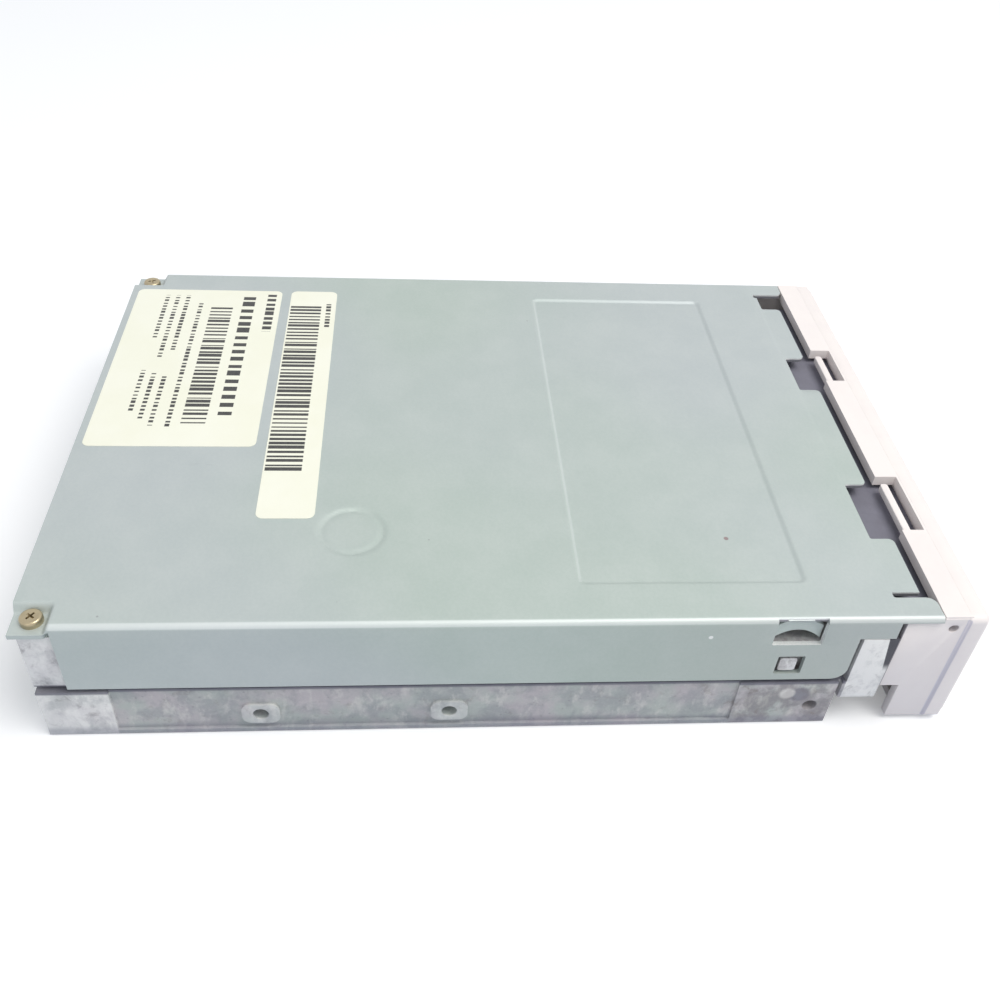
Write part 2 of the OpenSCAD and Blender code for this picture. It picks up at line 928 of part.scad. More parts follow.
module corner_post() {
    tab_under = cover_in_z - tab_drop;
    block([half_w - corner_w, rail_rear_y - corner_l, rail_h - weld],
        [half_w - rail_recess, rail_rear_y, tab_under - post_gap]);
}

module deck() {
    difference() {
        block([-wall_in - weld, deck_front_y, deck_z], [wall_in + weld, cross_y + cross_len, deck_top]);
        pin_z(well_r, deck_z - over, deck_top + over, 0, spindle_y);
        block([-front_slot_x, spindle_y, deck_z - over], [front_slot_x, well_y + over, deck_top + over]);
        block([well_left_x, well_y, deck_z - over], [well_right_x, cross_y, deck_top + over]);
    }
    for (side = [-1, 1]) {
        pin_z(post_r, deck_top - weld, disk_low_z, side * front_post_x, front_post_y);
        pin_z(post_r, deck_top - weld, disk_low_z, side * rear_post_x, rear_post_y);
        pin_z(peg_r, deck_top - weld, deck_top + peg_h, side * spring_x, peg_y);
        pin_z(board_boss_r, main_board_top, deck_z + weld, side * main_boss_x, main_boss_y);
        for (y = motor_boss_y)
            pin_z(board_boss_r, motor_board_top, deck_z + weld, side * motor_boss_x, y);
    }
}

module die_cast_frame() {
    lug_y0 = body_l - lug_board_inset - lug_board_w / 2;
    color("#a3a19c") difference() {
        union() {
            both_sides() {
                side_rail();
                oval_pad();
                side_wall();
                corner_post();
                block([lug_board_x - lug_board_w / 2, lug_y0, main_board_top],
                    [rail_in + weld, lug_y0 + lug_board_w, main_board_top + lug_board_h]);
            }
            deck();
            block([-rail_in - weld, rail_rear_y - foot_bar_l, foot_bar_z],
                [rail_in + weld, rail_rear_y, foot_bar_z + foot_bar_t]);
        }
        both_sides() {
            for (y = side_holes_y)
                pin_x(thread_r, half_w - thread_l, half_w + over, y, side_hole_z);
            for (y = bottom_holes_y) pin_z(thread_r, -over, thread_l, bottom_hole_x, y);
            pin_z(screw_r, drive_h - tab_drop - screw_l, drive_h, screw_x, screw_y);
            board_screw_holes();
        }
        pin_z(inner_screw_r, deck_z - over, deck_top + over, bracket_screw_x(), bracket_screw_y());
    }
}

function bracket_screw_x() = (bracket_out_x + bracket_foot_x) / 2;
function bracket_screw_y() = motor_face_y - bracket_t - bracket_foot_l / 2;

module board_screw_holes() {
    top = board_z + inner_screw_l;
    for (y = motor_boss_y) pin_z(inner_screw_r, board_z, top, motor_boss_x, y);
    pin_z(inner_screw_r, board_z, top, main_boss_x, main_boss_y);
    pin_z(inner_screw_r, board_z, top, lug_board_x, body_l - lug_board_inset);
}

module inner_screw(x, y, z, up) {
    translate([x, y, z]) mirror([0, 0, up ? 0 : 1]) {
        translate([0, 0, -weld]) cylinder(r = inner_screw_r, h = inner_screw_l + weld);
        translate([0, 0, -inner_head_h]) difference() {
            cylinder(r = inner_head_r, h = inner_head_h);
            for (turn = [0, 90])
                rotate([0, 0, turn]) cube([cross_l, cross_w, cross_depth], center = true);
        }
    }
}

module inner_screws() {
    color("#8e8f93") {
        both_sides() {
            for (y = motor_boss_y) inner_screw(motor_boss_x, y, board_z, true);
            inner_screw(main_boss_x, main_boss_y, board_z, true);
            inner_screw(lug_board_x, body_l - lug_board_inset, board_z, true);
        }
        translate([bracket_screw_x(), bracket_screw_y(), deck_top + bracket_t]) mirror([0, 0, 1]) {
            cylinder(r = inner_screw_r, h = bracket_t + deck_t);
            translate([0, 0, -inner_head_h]) cylinder(r = inner_head_r, h = inner_head_h);
        }
    }
}

// Front panel

slot_half_w = holder_out + slot_margin;
slot_z = bay_z - slot_low;
slot_top = bay_top + slot_high;
door_z = slot_top - door_hinge_drop;

module bezel_plate() {
    back = [[-half_w, -bezel_back_t, bezel_low], [half_w, 0, drive_h]];
    inset = [bezel_chamfer, 0, bezel_chamfer];
    hull() {
        round_wall(back[0], back[1], bezel_r, $fn = 24);
        round_wall(back[0] + inset - [0, plate_t - bezel_back_t, 0], back[1] - inset, bezel_r, $fn = 24);
    }
}

module bezel_flanges() {
    out = half_w - flange_inset;
    top = drive_h - flange_inset;
    side_top = cover_in_z - wall_top_gap;
    block([-out, -weld, top - flange_t], [out, top_flange_l, top]);
    both_sides() {
        block([out - flange_t, -weld, low_flange_top], [out, side_flange_l, side_top]);
        block([out - flange_t, -weld, bezel_low + flange_inset],
            [out, low_flange_l, low_flange_top + weld]);
    }
    block([-out, -weld, bezel_low + flange_inset],
        [out, under_flange_l, bezel_low + flange_inset + flange_t]);
}

// Cut-out in the top flange, with a lower ledge, a slit and a standing snap finger
module clip_cut(c) {
    top = drive_h - flange_inset;
    block([c[0], clip_slot_y, top - clip_ledge_drop], [c[1], top_flange_l + over, top + over]);
    block([c[0], clip_slit_y, top - flange_t - over],
        [c[1] - clip_end, clip_slit_y + clip_slit_l, top + over]);
}

module clip_finger(c) {
    top = drive_h - flange_inset;
    block([c[0] + finger_gap, clip_finger_y, top - clip_ledge_drop - weld],
        [c[1] - clip_end, clip_finger_y + clip_finger_t, top - clip_finger_drop]);
}

module front_bezel() {
    scoop_y = -plate_t - thumb_r + thumb_depth;
    color("#eae2dd") {
        difference() {
            union() {
                bezel_plate();
                bezel_flanges();
            }
            block([-slot_half_w, -plate_t - over, slot_z], [slot_half_w, over, slot_top]);
            pin_z(thumb_r, slot_z - thumb_rise, slot_top + thumb_rise, 0, scoop_y);
            block([-slot_half_w - pocket_w - pocket_wall, door_y - pocket_r, door_z - pocket_r],
                [-slot_half_w - pocket_wall, over, door_z + pocket_r]);
            both_sides() pin_x(door_pin_r + door_pin_gap, slot_half_w - over,
                slot_half_w + pocket_w + 2 * pocket_wall + door_pin_l, door_y, door_z);
            block([button_x - button_w / 2 - button_gap, -plate_t - over, button_z - button_gap],
                [button_x + button_w / 2 + button_gap, over, button_z + button_h + button_gap]);
            block([led_x - led_w / 2 - led_gap, -plate_t - over, led_z - led_gap],
                [led_x + led_w / 2 + led_gap, over, led_z + led_h + led_gap]);
            for (c = clips_x) clip_cut(c);
            both_sides() pin_x(mark_r, half_w - flange_inset - mark_depth, half_w + over,
                mark_y, mark_z);
        }
        for (c = clips_x) clip_finger(c);
    }
}

module activity_led() {
    color("#4f6b45") {
        block([led_x - led_w / 2, -plate_t - led_proud, led_z], [led_x + led_w / 2, led_back_y, led_z + led_h]);
        block([led_x - led_w / 2 - led_rim, 0, led_z - led_rim],
            [led_x + led_w / 2 + led_rim, led_rim_t, led_z + led_h + led_rim]);
    }
}

module led_leads() {
    mid_z = led_z + led_h / 2;
    color("#b8b8b4") for (side = [-1, 1]) {
        x = led_x + side * lead_pitch / 2;
        block([x - lead_w / 2, led_back_y, mid_z - lead_w / 2],
            [x + lead_w / 2, lead_end_y, mid_z + lead_w / 2]);
        block([x - lead_w / 2, lead_end_y - lead_w, motor_board_top],
            [x + lead_w / 2, lead_end_y, mid_z + lead_w / 2]);
    }
}

module slot_door() {
    door_half = slot_half_w - door_gap;
    low_z = slot_z + door_gap / 2;
    color("#e3dad6") {
        block([-door_half, door_y - door_t / 2, low_z], [door_half, door_y + door_t / 2, door_z + door_top_gap]);
        pin_x(door_pin_r, door_half - weld, slot_half_w + door_pin_l, door_y, door_z);
        pin_x(door_pin_r, -slot_half_w - pocket_w - 2 * pocket_wall - door_pin_l + door_gap,
            -door_half + weld, door_y, door_z);
    }
}

module door_spring() {
    color("#9a9a9a") translate([-slot_half_w - pocket_wall - door_wire_r - door_gap / 2, door_y, door_z])
        rotate([0, 0, 90]) coil_y([0, 0, 0], pocket_w - 2 * door_wire_r - door_gap, door_coil_r,
            door_wire_r, door_spring_turns);
}

// Spindle motor

module spindle_motor_board() {
    color("#4d6b4a") difference() {
        round_plate([-board_edge, motor_board_y, board_z],
            [board_edge, motor_board_rear, motor_board_top], post_r);
        pin_z(bearing_r, board_z - over, motor_board_top + over, 0, spindle_y);
        both_sides() for (y = motor_boss_y)
            pin_z(inner_screw_r, board_z - over, motor_board_top + over, motor_boss_x, y);
    }
}

module spindle_bearing() {
    color("#b08d4a") difference() {
        union() {
            pin_z(bearing_r, board_z - bearing_low, rotor_top - cup_t - bearing_high, 0, spindle_y);
            pin_z(bearing_flange_r, motor_board_top, motor_board_top + bearing_flange_t, 0, spindle_y);
        }
        pin_z(shaft_r + shaft_gap, 0, deck_top, 0, spindle_y);
    }
}

magnet_out = rotor_r - cup_wall;
magnet_in = magnet_out - magnet_t;
tooth_end = magnet_in - air_gap;
core_low = motor_board_top + core_z;

module stator_core() {
    color("#7d7f84") translate([0, spindle_y, core_low]) difference() {
        union() {
            cylinder(r = bearing_r + core_ring_t, h = core_h);
            for (i = [0 : teeth - 1]) rotate([0, 0, 360 * i / teeth]) {
                translate([bearing_r, -tooth_w / 2, 0])
                    cube([tooth_end - bearing_r - tooth_tip_t / 2, tooth_w, core_h]);
                translate([tooth_end - tooth_tip_t, -tooth_tip_w / 2, 0])
                    cube([tooth_tip_t, tooth_tip_w, core_h]);
            }
        }
        translate([0, 0, -over]) cylinder(r = bearing_r, h = core_h + 2 * over);
        difference() {
            translate([0, 0, -over]) cylinder(r = rotor_r, h = core_h + 2 * over);
            translate([0, 0, -2 * over]) cylinder(r = tooth_end, h = core_h + 4 * over);
        }
    }
}

module stator_coils() {
    from = bearing_r + core_ring_t + coil_start;
    to = tooth_end - tooth_tip_t - coil_gap;
    color("#a9632f") translate([0, spindle_y, core_low]) for (i = [0 : teeth - 1])
        rotate([0, 0, 360 * i / teeth]) difference() {
            translate([from, -coil_w / 2, -coil_over])
                cube([to - from, coil_w, core_h + 2 * coil_over]);
            translate([from - over, -tooth_w / 2, 0]) cube([to - from + 2 * over, tooth_w, core_h]);
        }
}

module rotor_cup() {
    color("#9fa2a6") difference() {
        pin_z(rotor_r, rotor_z, rotor_top, 0, spindle_y);
        pin_z(rotor_r - cup_wall, rotor_z - over, rotor_top - cup_t, 0, spindle_y);
        pin_z(shaft_r, rotor_z, rotor_top + over, 0, spindle_y);
    }
}

module rotor_magnet() {
    color("#3c3b3a") difference() {
        pin_z(magnet_out, rotor_z, rotor_top - cup_t, 0, spindle_y);
        pin_z(magnet_in, rotor_z - over, rotor_top, 0, spindle_y);
    }
}

hub_top = disk_low_z + hub_rise;
shaft_top = hub_top + shaft_rise;

module hub_table() {
    color("#c9cacb") difference() {
        pin_z(hub_r, rotor_top, hub_top, 0, spindle_y);
        pin_z(shaft_r, rotor_top - over, hub_top + over, 0, spindle_y);
        difference() {
            pin_z(hub_magnet_out, hub_top - hub_magnet_t, hub_top + over, 0, spindle_y);
            pin_z(hub_magnet_in, hub_top - hub_magnet_t - over, hub_top + 2 * over, 0, spindle_y);
        }
        pin_z(drive_pin_r, hub_top - hub_magnet_t, hub_top + over, drive_pin_x, spindle_y);
    }
}

module hub_magnet() {
    color("#55524e") difference() {
        pin_z(hub_magnet_out, hub_top - hub_magnet_t, hub_top, 0, spindle_y);
        pin_z(hub_magnet_in, hub_top - hub_magnet_t - over, hub_top + over, 0, spindle_y);
    }
}

module drive_pin() {
    color("#dcdcdc") pin_z(drive_pin_r, hub_top - hub_magnet_t, shaft_top, drive_pin_x, spindle_y);
}

module spindle_shaft() {
    color("#d4d5d6") pin_z(shaft_r, board_z + shaft_low, shaft_top, 0, spindle_y);
}

module index_sensor() {
    color("#26272a") block([index_x, spindle_y - index_w / 2, motor_board_top],
        [index_x + index_l, spindle_y + index_w / 2, motor_board_top + index_h]);
}

module motor_driver_chip() {
    at = on_main_board(driver_place_share);
    color("#222327") translate(at - [driver_w / 2, driver_l / 2, 0]) cube([driver_w, driver_l, driver_h]);
}

// Circuit board and what stands on it

main_board_l = body_l - main_board_rear - main_board_y;
function on_main_board(share) =
    [share[0] * board_edge, main_board_y + share[1] * main_board_l, main_board_top];

module main_circuit_board() {
    color("#4d6b4a") difference() {
        round_plate([-board_edge, main_board_y, board_z],
            [board_edge, body_l - main_board_rear, main_board_top], post_r);
        both_sides() {
            pin_z(inner_screw_r, board_z - over, main_board_top + over, main_boss_x, main_boss_y);
            pin_z(inner_screw_r, board_z - over, main_board_top + over, lug_board_x,
                body_l - lug_board_inset);
        }
    }
}

// Flat cable that bridges the two boards
module board_link_cable() {
    motor_end = motor_board_rear;
    top = main_board_top + link_rise;
    color("#c7b98a") {
        block([link_x, motor_end - link_reach, top], [link_x + link_w, main_board_y + link_reach, top + link_t]);
        block([link_x, motor_end - link_reach, motor_board_top],
            [link_x + link_w, motor_end - link_reach + link_t, top + link_t]);
        block([link_x, main_board_y + link_reach - link_t, main_board_top],
            [link_x + link_w, main_board_y + link_reach, top + link_t]);
    }
}

function column_x(i) = signal_x + (i - (columns - 1) / 2) * pitch;

module signal_header_block() {
    half = columns * pitch / 2 + header_margin;
    color("#2b2b2d") difference() {
        block([signal_x - half, header_y, main_board_top], [signal_x + half, header_y + header_l,
            main_board_top + header_h]);
        for (i = [0 : columns - 1], row = [0, 1])
            block([column_x(i) - pin_w / 2, header_y - over, row_low(row)],
                [column_x(i) + pin_w / 2, header_y + header_l + over, row_low(row) + pin_w]);
    }
}

function row_low(row) = main_board_top + row_z + row * pitch - pin_w / 2;

module signal_header_pins() {
    color("#c4a95c") for (i = [0 : columns - 1], row = [0, 1]) {
        x = column_x(i) - pin_w / 2;
        leg = header_y - leg_y[row];
        block([x, leg, row_low(row)], [x + pin_w, pin_end_y, row_low(row) + pin_w]);
        block([x, leg, main_board_top], [x + pin_w, leg + pin_w, row_low(row) + pin_w]);
    }
}

module power_header_block() {
    low = [power_x - power_w / 2, body_l - power_rear - power_l, main_board_top];
    color("#e8e4d8") difference() {
        block(low, low + [power_w, power_l, power_h]);
        block(low + [power_wall, power_wall, power_wall],
            low + [power_w - power_wall, power_l + over, power_h + over]);
        for (i = [0 : power_pins - 1])
            pin_y(power_pin_r, low[1] - over, low[1] + 2 * over, power_pin_x(i),
                main_board_top + power_pin_z);
    }
}

function power_pin_x(i) = power_x + (i - (power_pins - 1) / 2) * power_pitch;

module power_header_pins() {
    low_y = body_l - power_rear - power_l;
    leg_z = main_board_top + power_pin_z;
    color("#c9c9c4") for (i = [0 : power_pins - 1]) {
        pin_y(power_pin_r, low_y - 2 * power_pin_r, low_y + power_l - power_wall, power_pin_x(i), leg_z);
        pin_z(power_pin_r, main_board_top, leg_z, power_pin_x(i), low_y - power_pin_r - pin_w / 2);
    }
}

module controller_chip() {
    half = chip_w / 2;
    step = chip_w / (chip_legs + 1);
    color("#1f2023") translate(on_main_board(chip_place_share)) {
        translate([-half, -half, 0]) cube([chip_w, chip_w, chip_h]);
        for (turn = [0 : 90 : 270], i = [1 : chip_legs])
            rotate([0, 0, turn]) translate([half - weld, i * step - half - chip_leg_w / 2, 0])
                cube([chip_leg + weld, chip_leg_w, chip_leg_t]);
    }
}

module board_components() {
    for (p = can_share) color("#9aa3b2") translate(on_main_board(p)) cylinder(r = can_r, h = can_h);
    for (p = brick_share) color("#7b6a55")
        translate(on_main_board(p) - [brick_w / 2, brick_l / 2, 0]) cube([brick_w, brick_l, brick_h]);
}

module cable_socket(x, y, w) {
    block([x - w / 2, y, main_board_top], [x + w / 2, y + socket_l, main_board_top + socket_h]);
}

module cable_sockets() {
    color("#efe9dc") {
        cable_socket(0, flex_run_y + flex_bend_r - socket_l / 2, flex_w + 2 * weld);
        cable_socket(screw_axis_x, stepper_socket_y, stepper_cable_w + 2 * weld);
    }
}

// Thin strip standing on its edge in YZ: a run, a quarter bend down and a drop
module bent_strip(x, w, t, from_y, bend_y, top_z, r, low_z) {
    block([x - w / 2, from_y, top_z - t], [x + w / 2, bend_y + weld / 2, top_z]);
    translate([x - w / 2, bend_y, top_z - r]) rotate([0, 90, 0]) rotate([0, 0, 90])
        rotate_extrude(angle = 90) translate([r - t, 0]) square([t, w]);
    block([x - w / 2, bend_y + r - t, low_z], [x + w / 2, bend_y + r, top_z - r + weld / 2]);
}

module head_flex_cable() {
    color("#b5793a") bent_strip(0, flex_w, flex_t, body_rear_y, flex_run_y, flex_z, flex_bend_r,
        main_board_top + socket_h);
}

module stepper_cable() {
    color("#c7b98a") bent_strip(screw_axis_x, stepper_cable_w, flex_t,
        motor_face_y + stepper_l + terminal_l, stepper_socket_y + socket_l / 2 - stepper_cable_r,
        stepper_cable_z, stepper_cable_r, main_board_top + socket_h);
}

module track_zero_sensor() {
    y0 = body_rear_y - flag_front;
    y1 = body_rear_y - flag_rear;
    color("#2a2a2c") difference() {
        block([flag_x - zero_half_w, y0, main_board_top], [flag_x + zero_half_w, y1, main_board_top + zero_h]);
        block([flag_x - zero_slot, y0 - over, main_board_top + zero_base],
            [flag_x + zero_slot, y1 + over, main_board_top + zero_h + over]);
    }
}

// Rods, lead screw and stepper motor

module guide_rods() {
    color("#cfd0d2") for (x = [main_rod_x, side_rod_x])
        pin_y(rod_r, rod_front_y, rod_rear_y, x, rod_z);
}

module rod_clamps() {
    color("#97999c") for (x = [main_rod_x, side_rod_x],
            y = [rod_front_y + clamp_inset, rod_rear_y - clamp_inset - clamp_l])
        difference() {
            block([x - clamp_half_w, y, deck_top], [x + clamp_half_w, y + clamp_l, deck_top + clamp_h]);
            pin_y(rod_r, y - over, y + clamp_l + over, x, rod_z);
        }
}

module lead_screw() {
    run = motor_face_y - bracket_t - screw_front_y;
    turns = floor(run / screw_lead);
    steps = turns * coil_step_count;
    start = (run - turns * screw_lead) / 2;
    path = [for (i = [0 : steps])
        let (a = 360 * i / coil_step_count, out = [cos(a), 0, sin(a)])
        [screw_core_r * out + [0, start + turns * screw_lead * i / steps, 0], out]];
    color("#c4c5c8") translate([screw_axis_x, screw_front_y, rod_z]) {
        rotate([-90, 0, 0]) cylinder(r = screw_core_r, h = run + bracket_t - rod_gap);
        rotate([90, 0, 0]) cylinder(r = screw_nose_r, h = screw_nose_l - rod_gap);
        wire(path, screw_thread_r);
    }
}

module screw_end_bearing() {
    color("#e9e3cf") difference() {
        block([screw_axis_x - clamp_half_w, screw_front_y - screw_nose_l, deck_top],
            [screw_axis_x + clamp_half_w, screw_front_y - rod_gap, deck_top + clamp_h]);
        pin_y(screw_nose_r + rod_gap, screw_front_y - screw_nose_l - over, screw_front_y + over,
            screw_axis_x, rod_z);
    }
}

module stepper_bracket() {
    front = motor_face_y - bracket_t;
    color("#a6aaae") difference() {
        union() {
            block([well_left_x + post_gap, front, bracket_z], [bracket_front_x, motor_face_y, bracket_top]);
            block([bracket_out_x, front, deck_top], [well_left_x + over, motor_face_y, bracket_top]);
            block([bracket_out_x, front - bracket_foot_l, deck_top],
                [bracket_foot_x, motor_face_y, deck_top + bracket_t]);
        }
        pin_y(stepper_nose_r + rod_gap, front - over, motor_face_y + over, screw_axis_x, rod_z);
        pin_z(inner_screw_r, deck_top - over, deck_top + bracket_t + over, bracket_screw_x(),
            bracket_screw_y());
    }
}

module stepper_motor() {
    rear = motor_face_y + stepper_l;
    color("#b3b4b4") {
        difference() {
            union() {
                pin_y(stepper_r, motor_face_y, rear, screw_axis_x, rod_z);
                pin_y(stepper_nose_r, motor_face_y - stepper_nose_l + weld, motor_face_y + weld,
                    screw_axis_x, rod_z);
            }
            pin_y(screw_core_r + screw_thread_r + rod_gap, motor_face_y - 2 * over,
                motor_face_y, screw_axis_x, rod_z);
            difference() {
                pin_y(stepper_r + over, motor_face_y + stepper_l / 2 - stepper_rim_t,
                    motor_face_y + stepper_l / 2 + stepper_rim_t, screw_axis_x, rod_z);
                pin_y(stepper_r - stepper_rim, motor_face_y, rear, screw_axis_x, rod_z);
            }
        }
        translate([screw_axis_x - terminal_w / 2, rear - weld, stepper_cable_z - terminal_h / 2])
            cube([terminal_w, terminal_l + weld, terminal_h]);
    }
}

// Head carriage and upper arm

module head_carriage() {
    low = carriage_low;
    fork_low = rod_z - rod_r - rod_gap;
    fork_high = rod_z + rod_r + rod_gap;
    color("#3b3c3f") difference() {
        union() {
            block([-nose_half_w, head_y - nose_front, low],
                [nose_half_w, carriage_front_y + nose_lap, carriage_top]);
            block([body_left_x, carriage_front_y, low], [body_right_x + weld, body_rear_y, carriage_high]);
            block([main_rod_x - sleeve_half_w - weld, cross_y - sleeve_front, low],
                [main_rod_x + sleeve_half_w, cross_y - sleeve_rear, carriage_high]);
            block([side_rod_x - fork_half_w, cross_y - fork_front, low],
                [body_left_x + weld, cross_y - fork_rear, carriage_high]);
            block([follow_x, follow_front_y, low],
                [body_left_x + weld, follow_front_y + follow_l, low + follow_low_t]);
            both_sides() block([arm_half_w + ear_gap, hinge_y - ear_half_l, carriage_high - weld],
                [arm_half_w + ear_gap + ear_t, hinge_y + ear_half_l, hinge_z + ear_top]);
            block([flag_x - flag_t / 2, body_rear_y - flag_front, flag_low],
                [flag_x + flag_t / 2, body_rear_y - flag_rear, low + weld]);
        }
        pin_y(rod_r + rod_gap, head_y, body_rear_y + over, main_rod_x, rod_z);
        block([side_rod_x - fork_half_w - over, cross_y - fork_front - over, fork_low],
            [side_rod_x + rod_r + rod_gap, cross_y - fork_rear + over, fork_high]);
        pin_x(hinge_r, -arm_half_w - 2 * ear_t, arm_half_w + 2 * ear_t, hinge_y, hinge_z);
    }
}

// Stainless leaf that presses into the lead screw's thread
module screw_follower() {
    edge = screw_axis_x + screw_core_r + screw_thread_r + follower_gap;
    low = carriage_low + follow_low_t;
    color("#d0d1d3") block([edge, follow_front_y, low],
        [edge + follower_t, follow_front_y + follow_l, rod_z + rod_r]);
}

module head_block(low_z, high_z) {
    round_plate([-head_half_w, head_y - head_half_l, low_z], [head_half_w, head_y + head_half_l, high_z],
        head_half_l / 4);
}

medium_z = disk_low_z + disk_t / 2;

module lower_head() {
    color("#6b6259") head_block(carriage_top, medium_z - head_air);
}

module arm_hinge_pin() {
    reach = arm_half_w + ear_gap + ear_t;
    color("#d6d7d9") pin_x(hinge_r, -reach, reach + 2 * ear_t + 2 * arm_wire_r, hinge_y, hinge_z);
}

module arm_spring() {
    start = arm_half_w + ear_gap + ear_t + arm_wire_r;
    color("#b9babc") translate([start, hinge_y, hinge_z]) rotate([0, 0, -90])
        coil_y([0, 0, 0], 2 * ear_t, arm_coil_r, arm_wire_r, arm_spring_turns);
}

// Turns what is drawn in the lowered place up to the raised one, where the arm rests
module raised() {
    translate([0, hinge_y, hinge_z]) rotate([-arm_raise_angle, 0, 0]) translate([0, -hinge_y, -hinge_z]) children();
}

module upper_arm() {
    low = hinge_z + arm_low;
    ear_y = hinge_y - lift_ear_y;
    color("#aeb1b4") raised() difference() {
        union() {
            translate([0, 0, low]) linear_extrude(arm_t) polygon([
                [-arm_half_w, hinge_y + hinge_r], [arm_half_w, hinge_y + hinge_r],
                [arm_half_w, head_y + arm_taper_y], [arm_tip_half_w, head_y],
                [arm_tip_half_w, head_y - arm_tip], [-arm_tip_half_w, head_y - arm_tip],
                [-arm_tip_half_w, head_y], [-arm_half_w, head_y + arm_taper_y]]);
            pin_x(arm_barrel_r, -arm_half_w, arm_half_w, hinge_y, hinge_z);
            block([arm_half_w - lift_ear_w, ear_y - lift_ear_l / 2, low + weld],
                [arm_half_w, ear_y + lift_ear_l / 2, hinge_z + lift_ear_z + lift_ear_t]);
            block([arm_half_w - lift_ear_w, ear_y - lift_ear_l / 2, hinge_z + lift_ear_z],
                [lift_ear_x, ear_y + lift_ear_l / 2, hinge_z + lift_ear_z + lift_ear_t]);
        }
        pin_x(hinge_r + shaft_gap, -2 * arm_half_w, 2 * arm_half_w, hinge_y, hinge_z);
    }
}

module upper_head() {
    color("#6b6259") raised() head_block(medium_z + head_air, hinge_z + arm_low);
}

// Diskette holder

lever_top = holder_top + lever_gap + lever_t;

module disk_holder() {
    arc = lever_reach;
    color("#b4b8ba") {
        difference() {
            block([-holder_out, holder_y, bay_top], [holder_out, holder_rear_y, holder_top]);
            block([-arm_slot_x, arm_slot_y, bay_top - over], [arm_slot_x, holder_rear_y + over, holder_top + over]);
            arc_slot(arc, finger_r + arc_gap, lever_end_angle - arc_slack_angle, lever_rest_angle + arc_slack_angle, bay_top - over,
                holder_top + over);
        }
        both_sides() difference() {
            block([holder_in, holder_y, bay_z - holder_t], [holder_out, holder_rear_y, bay_top + weld]);
            for (y = pin_y) pin_x(rivet_r, holder_in - over, holder_out + over, y, pin_z);
        }
        both_sides() block([holder_in - holder_rail_w, holder_rail_y, bay_z - holder_t],
            [holder_in + weld, holder_rear_y, bay_z]);
        block([stop_in, spindle_y + disk_l / 2 + stop_low, bay_z + stop_low],
            [stop_out, spindle_y + disk_l / 2 + stop_low + holder_t, bay_top + weld]);
        pin_z(lever_pin_r, bay_top, lever_top + lever_spring_room, lever_x, lever_y);
        pin_z(rivet_head_r, lever_top + lever_spring_room, lever_top + lever_spring_room + rivet_head_t,
            lever_x, lever_y);
    }
}

module holder_pins() {
    color("#d8d8d6") both_sides() for (y = pin_y) {
        pin_x(pin_r, holder_out, wall_in + pin_reach, y, pin_z);
        pin_x(rivet_r, holder_in, holder_out + weld, y, pin_z);
    }
}

module shutter_lever() {
    low = holder_top + lever_gap;
    color("#c3c6c8") difference() {
        translate([lever_x, lever_y, low]) {
            cylinder(r = lever_eye_r, h = lever_t);
            rotate([0, 0, lever_rest_angle]) {
                translate([0, -lever_half_w, 0]) cube([lever_reach, 2 * lever_half_w, lever_t]);
                translate([lever_reach, 0, 0]) cylinder(r = lever_half_w, h = lever_t);
                translate([lever_reach, 0, bay_z + finger_low - low])
                    cylinder(r = finger_r, h = low - bay_z - finger_low + weld);
            }
        }
        pin_z(lever_pin_r + lever_pin_gap, low - over, low + lever_t + over, lever_x, lever_y);
    }
}

// Torsion spring on the lever's pivot, between the lever and the pivot's head
module lever_spring() {
    color("#9fa1a3") translate([lever_x, lever_y, lever_top + lever_coil_gap + lever_wire_r])
        rotate([90, 0, 0]) coil_y([0, 0, 0], lever_spring_room - 2 * (lever_wire_r + lever_coil_gap),
            lever_coil_r, lever_wire_r, lever_spring_turns);
}

// Eject slider, its springs and its button

module eject_slider() {
    arm_x = button_x - button_arm_w / 2;
    slot_run = [eject_travel, -drop];
    color("#9ba0a3") difference() {
        union() {
            both_sides() {
                block([slider_in, slider_y, slider_z], [slider_out, slider_rear_y, bay_z + slider_high]);
                block([slider_strip_x, slider_y, slider_z], [slider_in + weld, slider_rear_y, slider_top]);
                block([(spring_x - spring_r - spring_wire_r), tab_y, slider_z], [slider_strip_x + weld, tab_y + tab_t, slider_top]);
                block([(spring_x - spring_r - spring_wire_r), tab_y, slider_z], [(spring_x - spring_r - spring_wire_r) + 2 * spring_r + tab_t, tab_y + tab_t,
                    slider_z + tab_h]);
            }
            block([-slider_strip_x - weld, slider_y, slider_z],
                [slider_strip_x + weld, slider_y + slider_bar_l, slider_top]);
            block([arm_x, button_back_y, slider_z], [arm_x + button_arm_w, slider_y + weld, slider_top]);
            block([arm_x, button_back_y, button_tab_low],
                [arm_x + button_arm_w, button_back_y + slider_t, slider_z + weld]);
        }
        both_sides() for (y = pin_y)
            slot_x(pin_r + pin_gap, slider_in - over, slider_out + over, [y, pin_z], [y, pin_z] + slot_run);
    }
}

module eject_button() {
    lo = [button_x - button_w / 2, front_y, button_z];
    hi = [button_x + button_w / 2, button_back_y, button_z + button_h];
    color("#e6ded9") round_wall(lo, hi, button_r);
}

module slider_springs() {
    from = peg_y + peg_r + spring_end;
    to = tab_y - spring_end;
    path = concat([[[spring_x, peg_y + peg_r, spring_z], [0, 0, 1]], [[spring_x, from - spring_r, spring_z], [0, 0, 1]]],
        [for (p = coil_path([spring_x, from, spring_z], to - from, spring_r, spring_turns)) p],
        [[[spring_x, to + spring_r, spring_z], [0, 0, 1]], [[spring_x, tab_y, spring_z], [0, 0, 1]]]);
    color("#a8aaac") both_sides() wire(path, spring_wire_r);
}

// Sensor switches

switch_places = [switch_outer_x, -switch_outer_x, switch_spread - switch_outer_x];

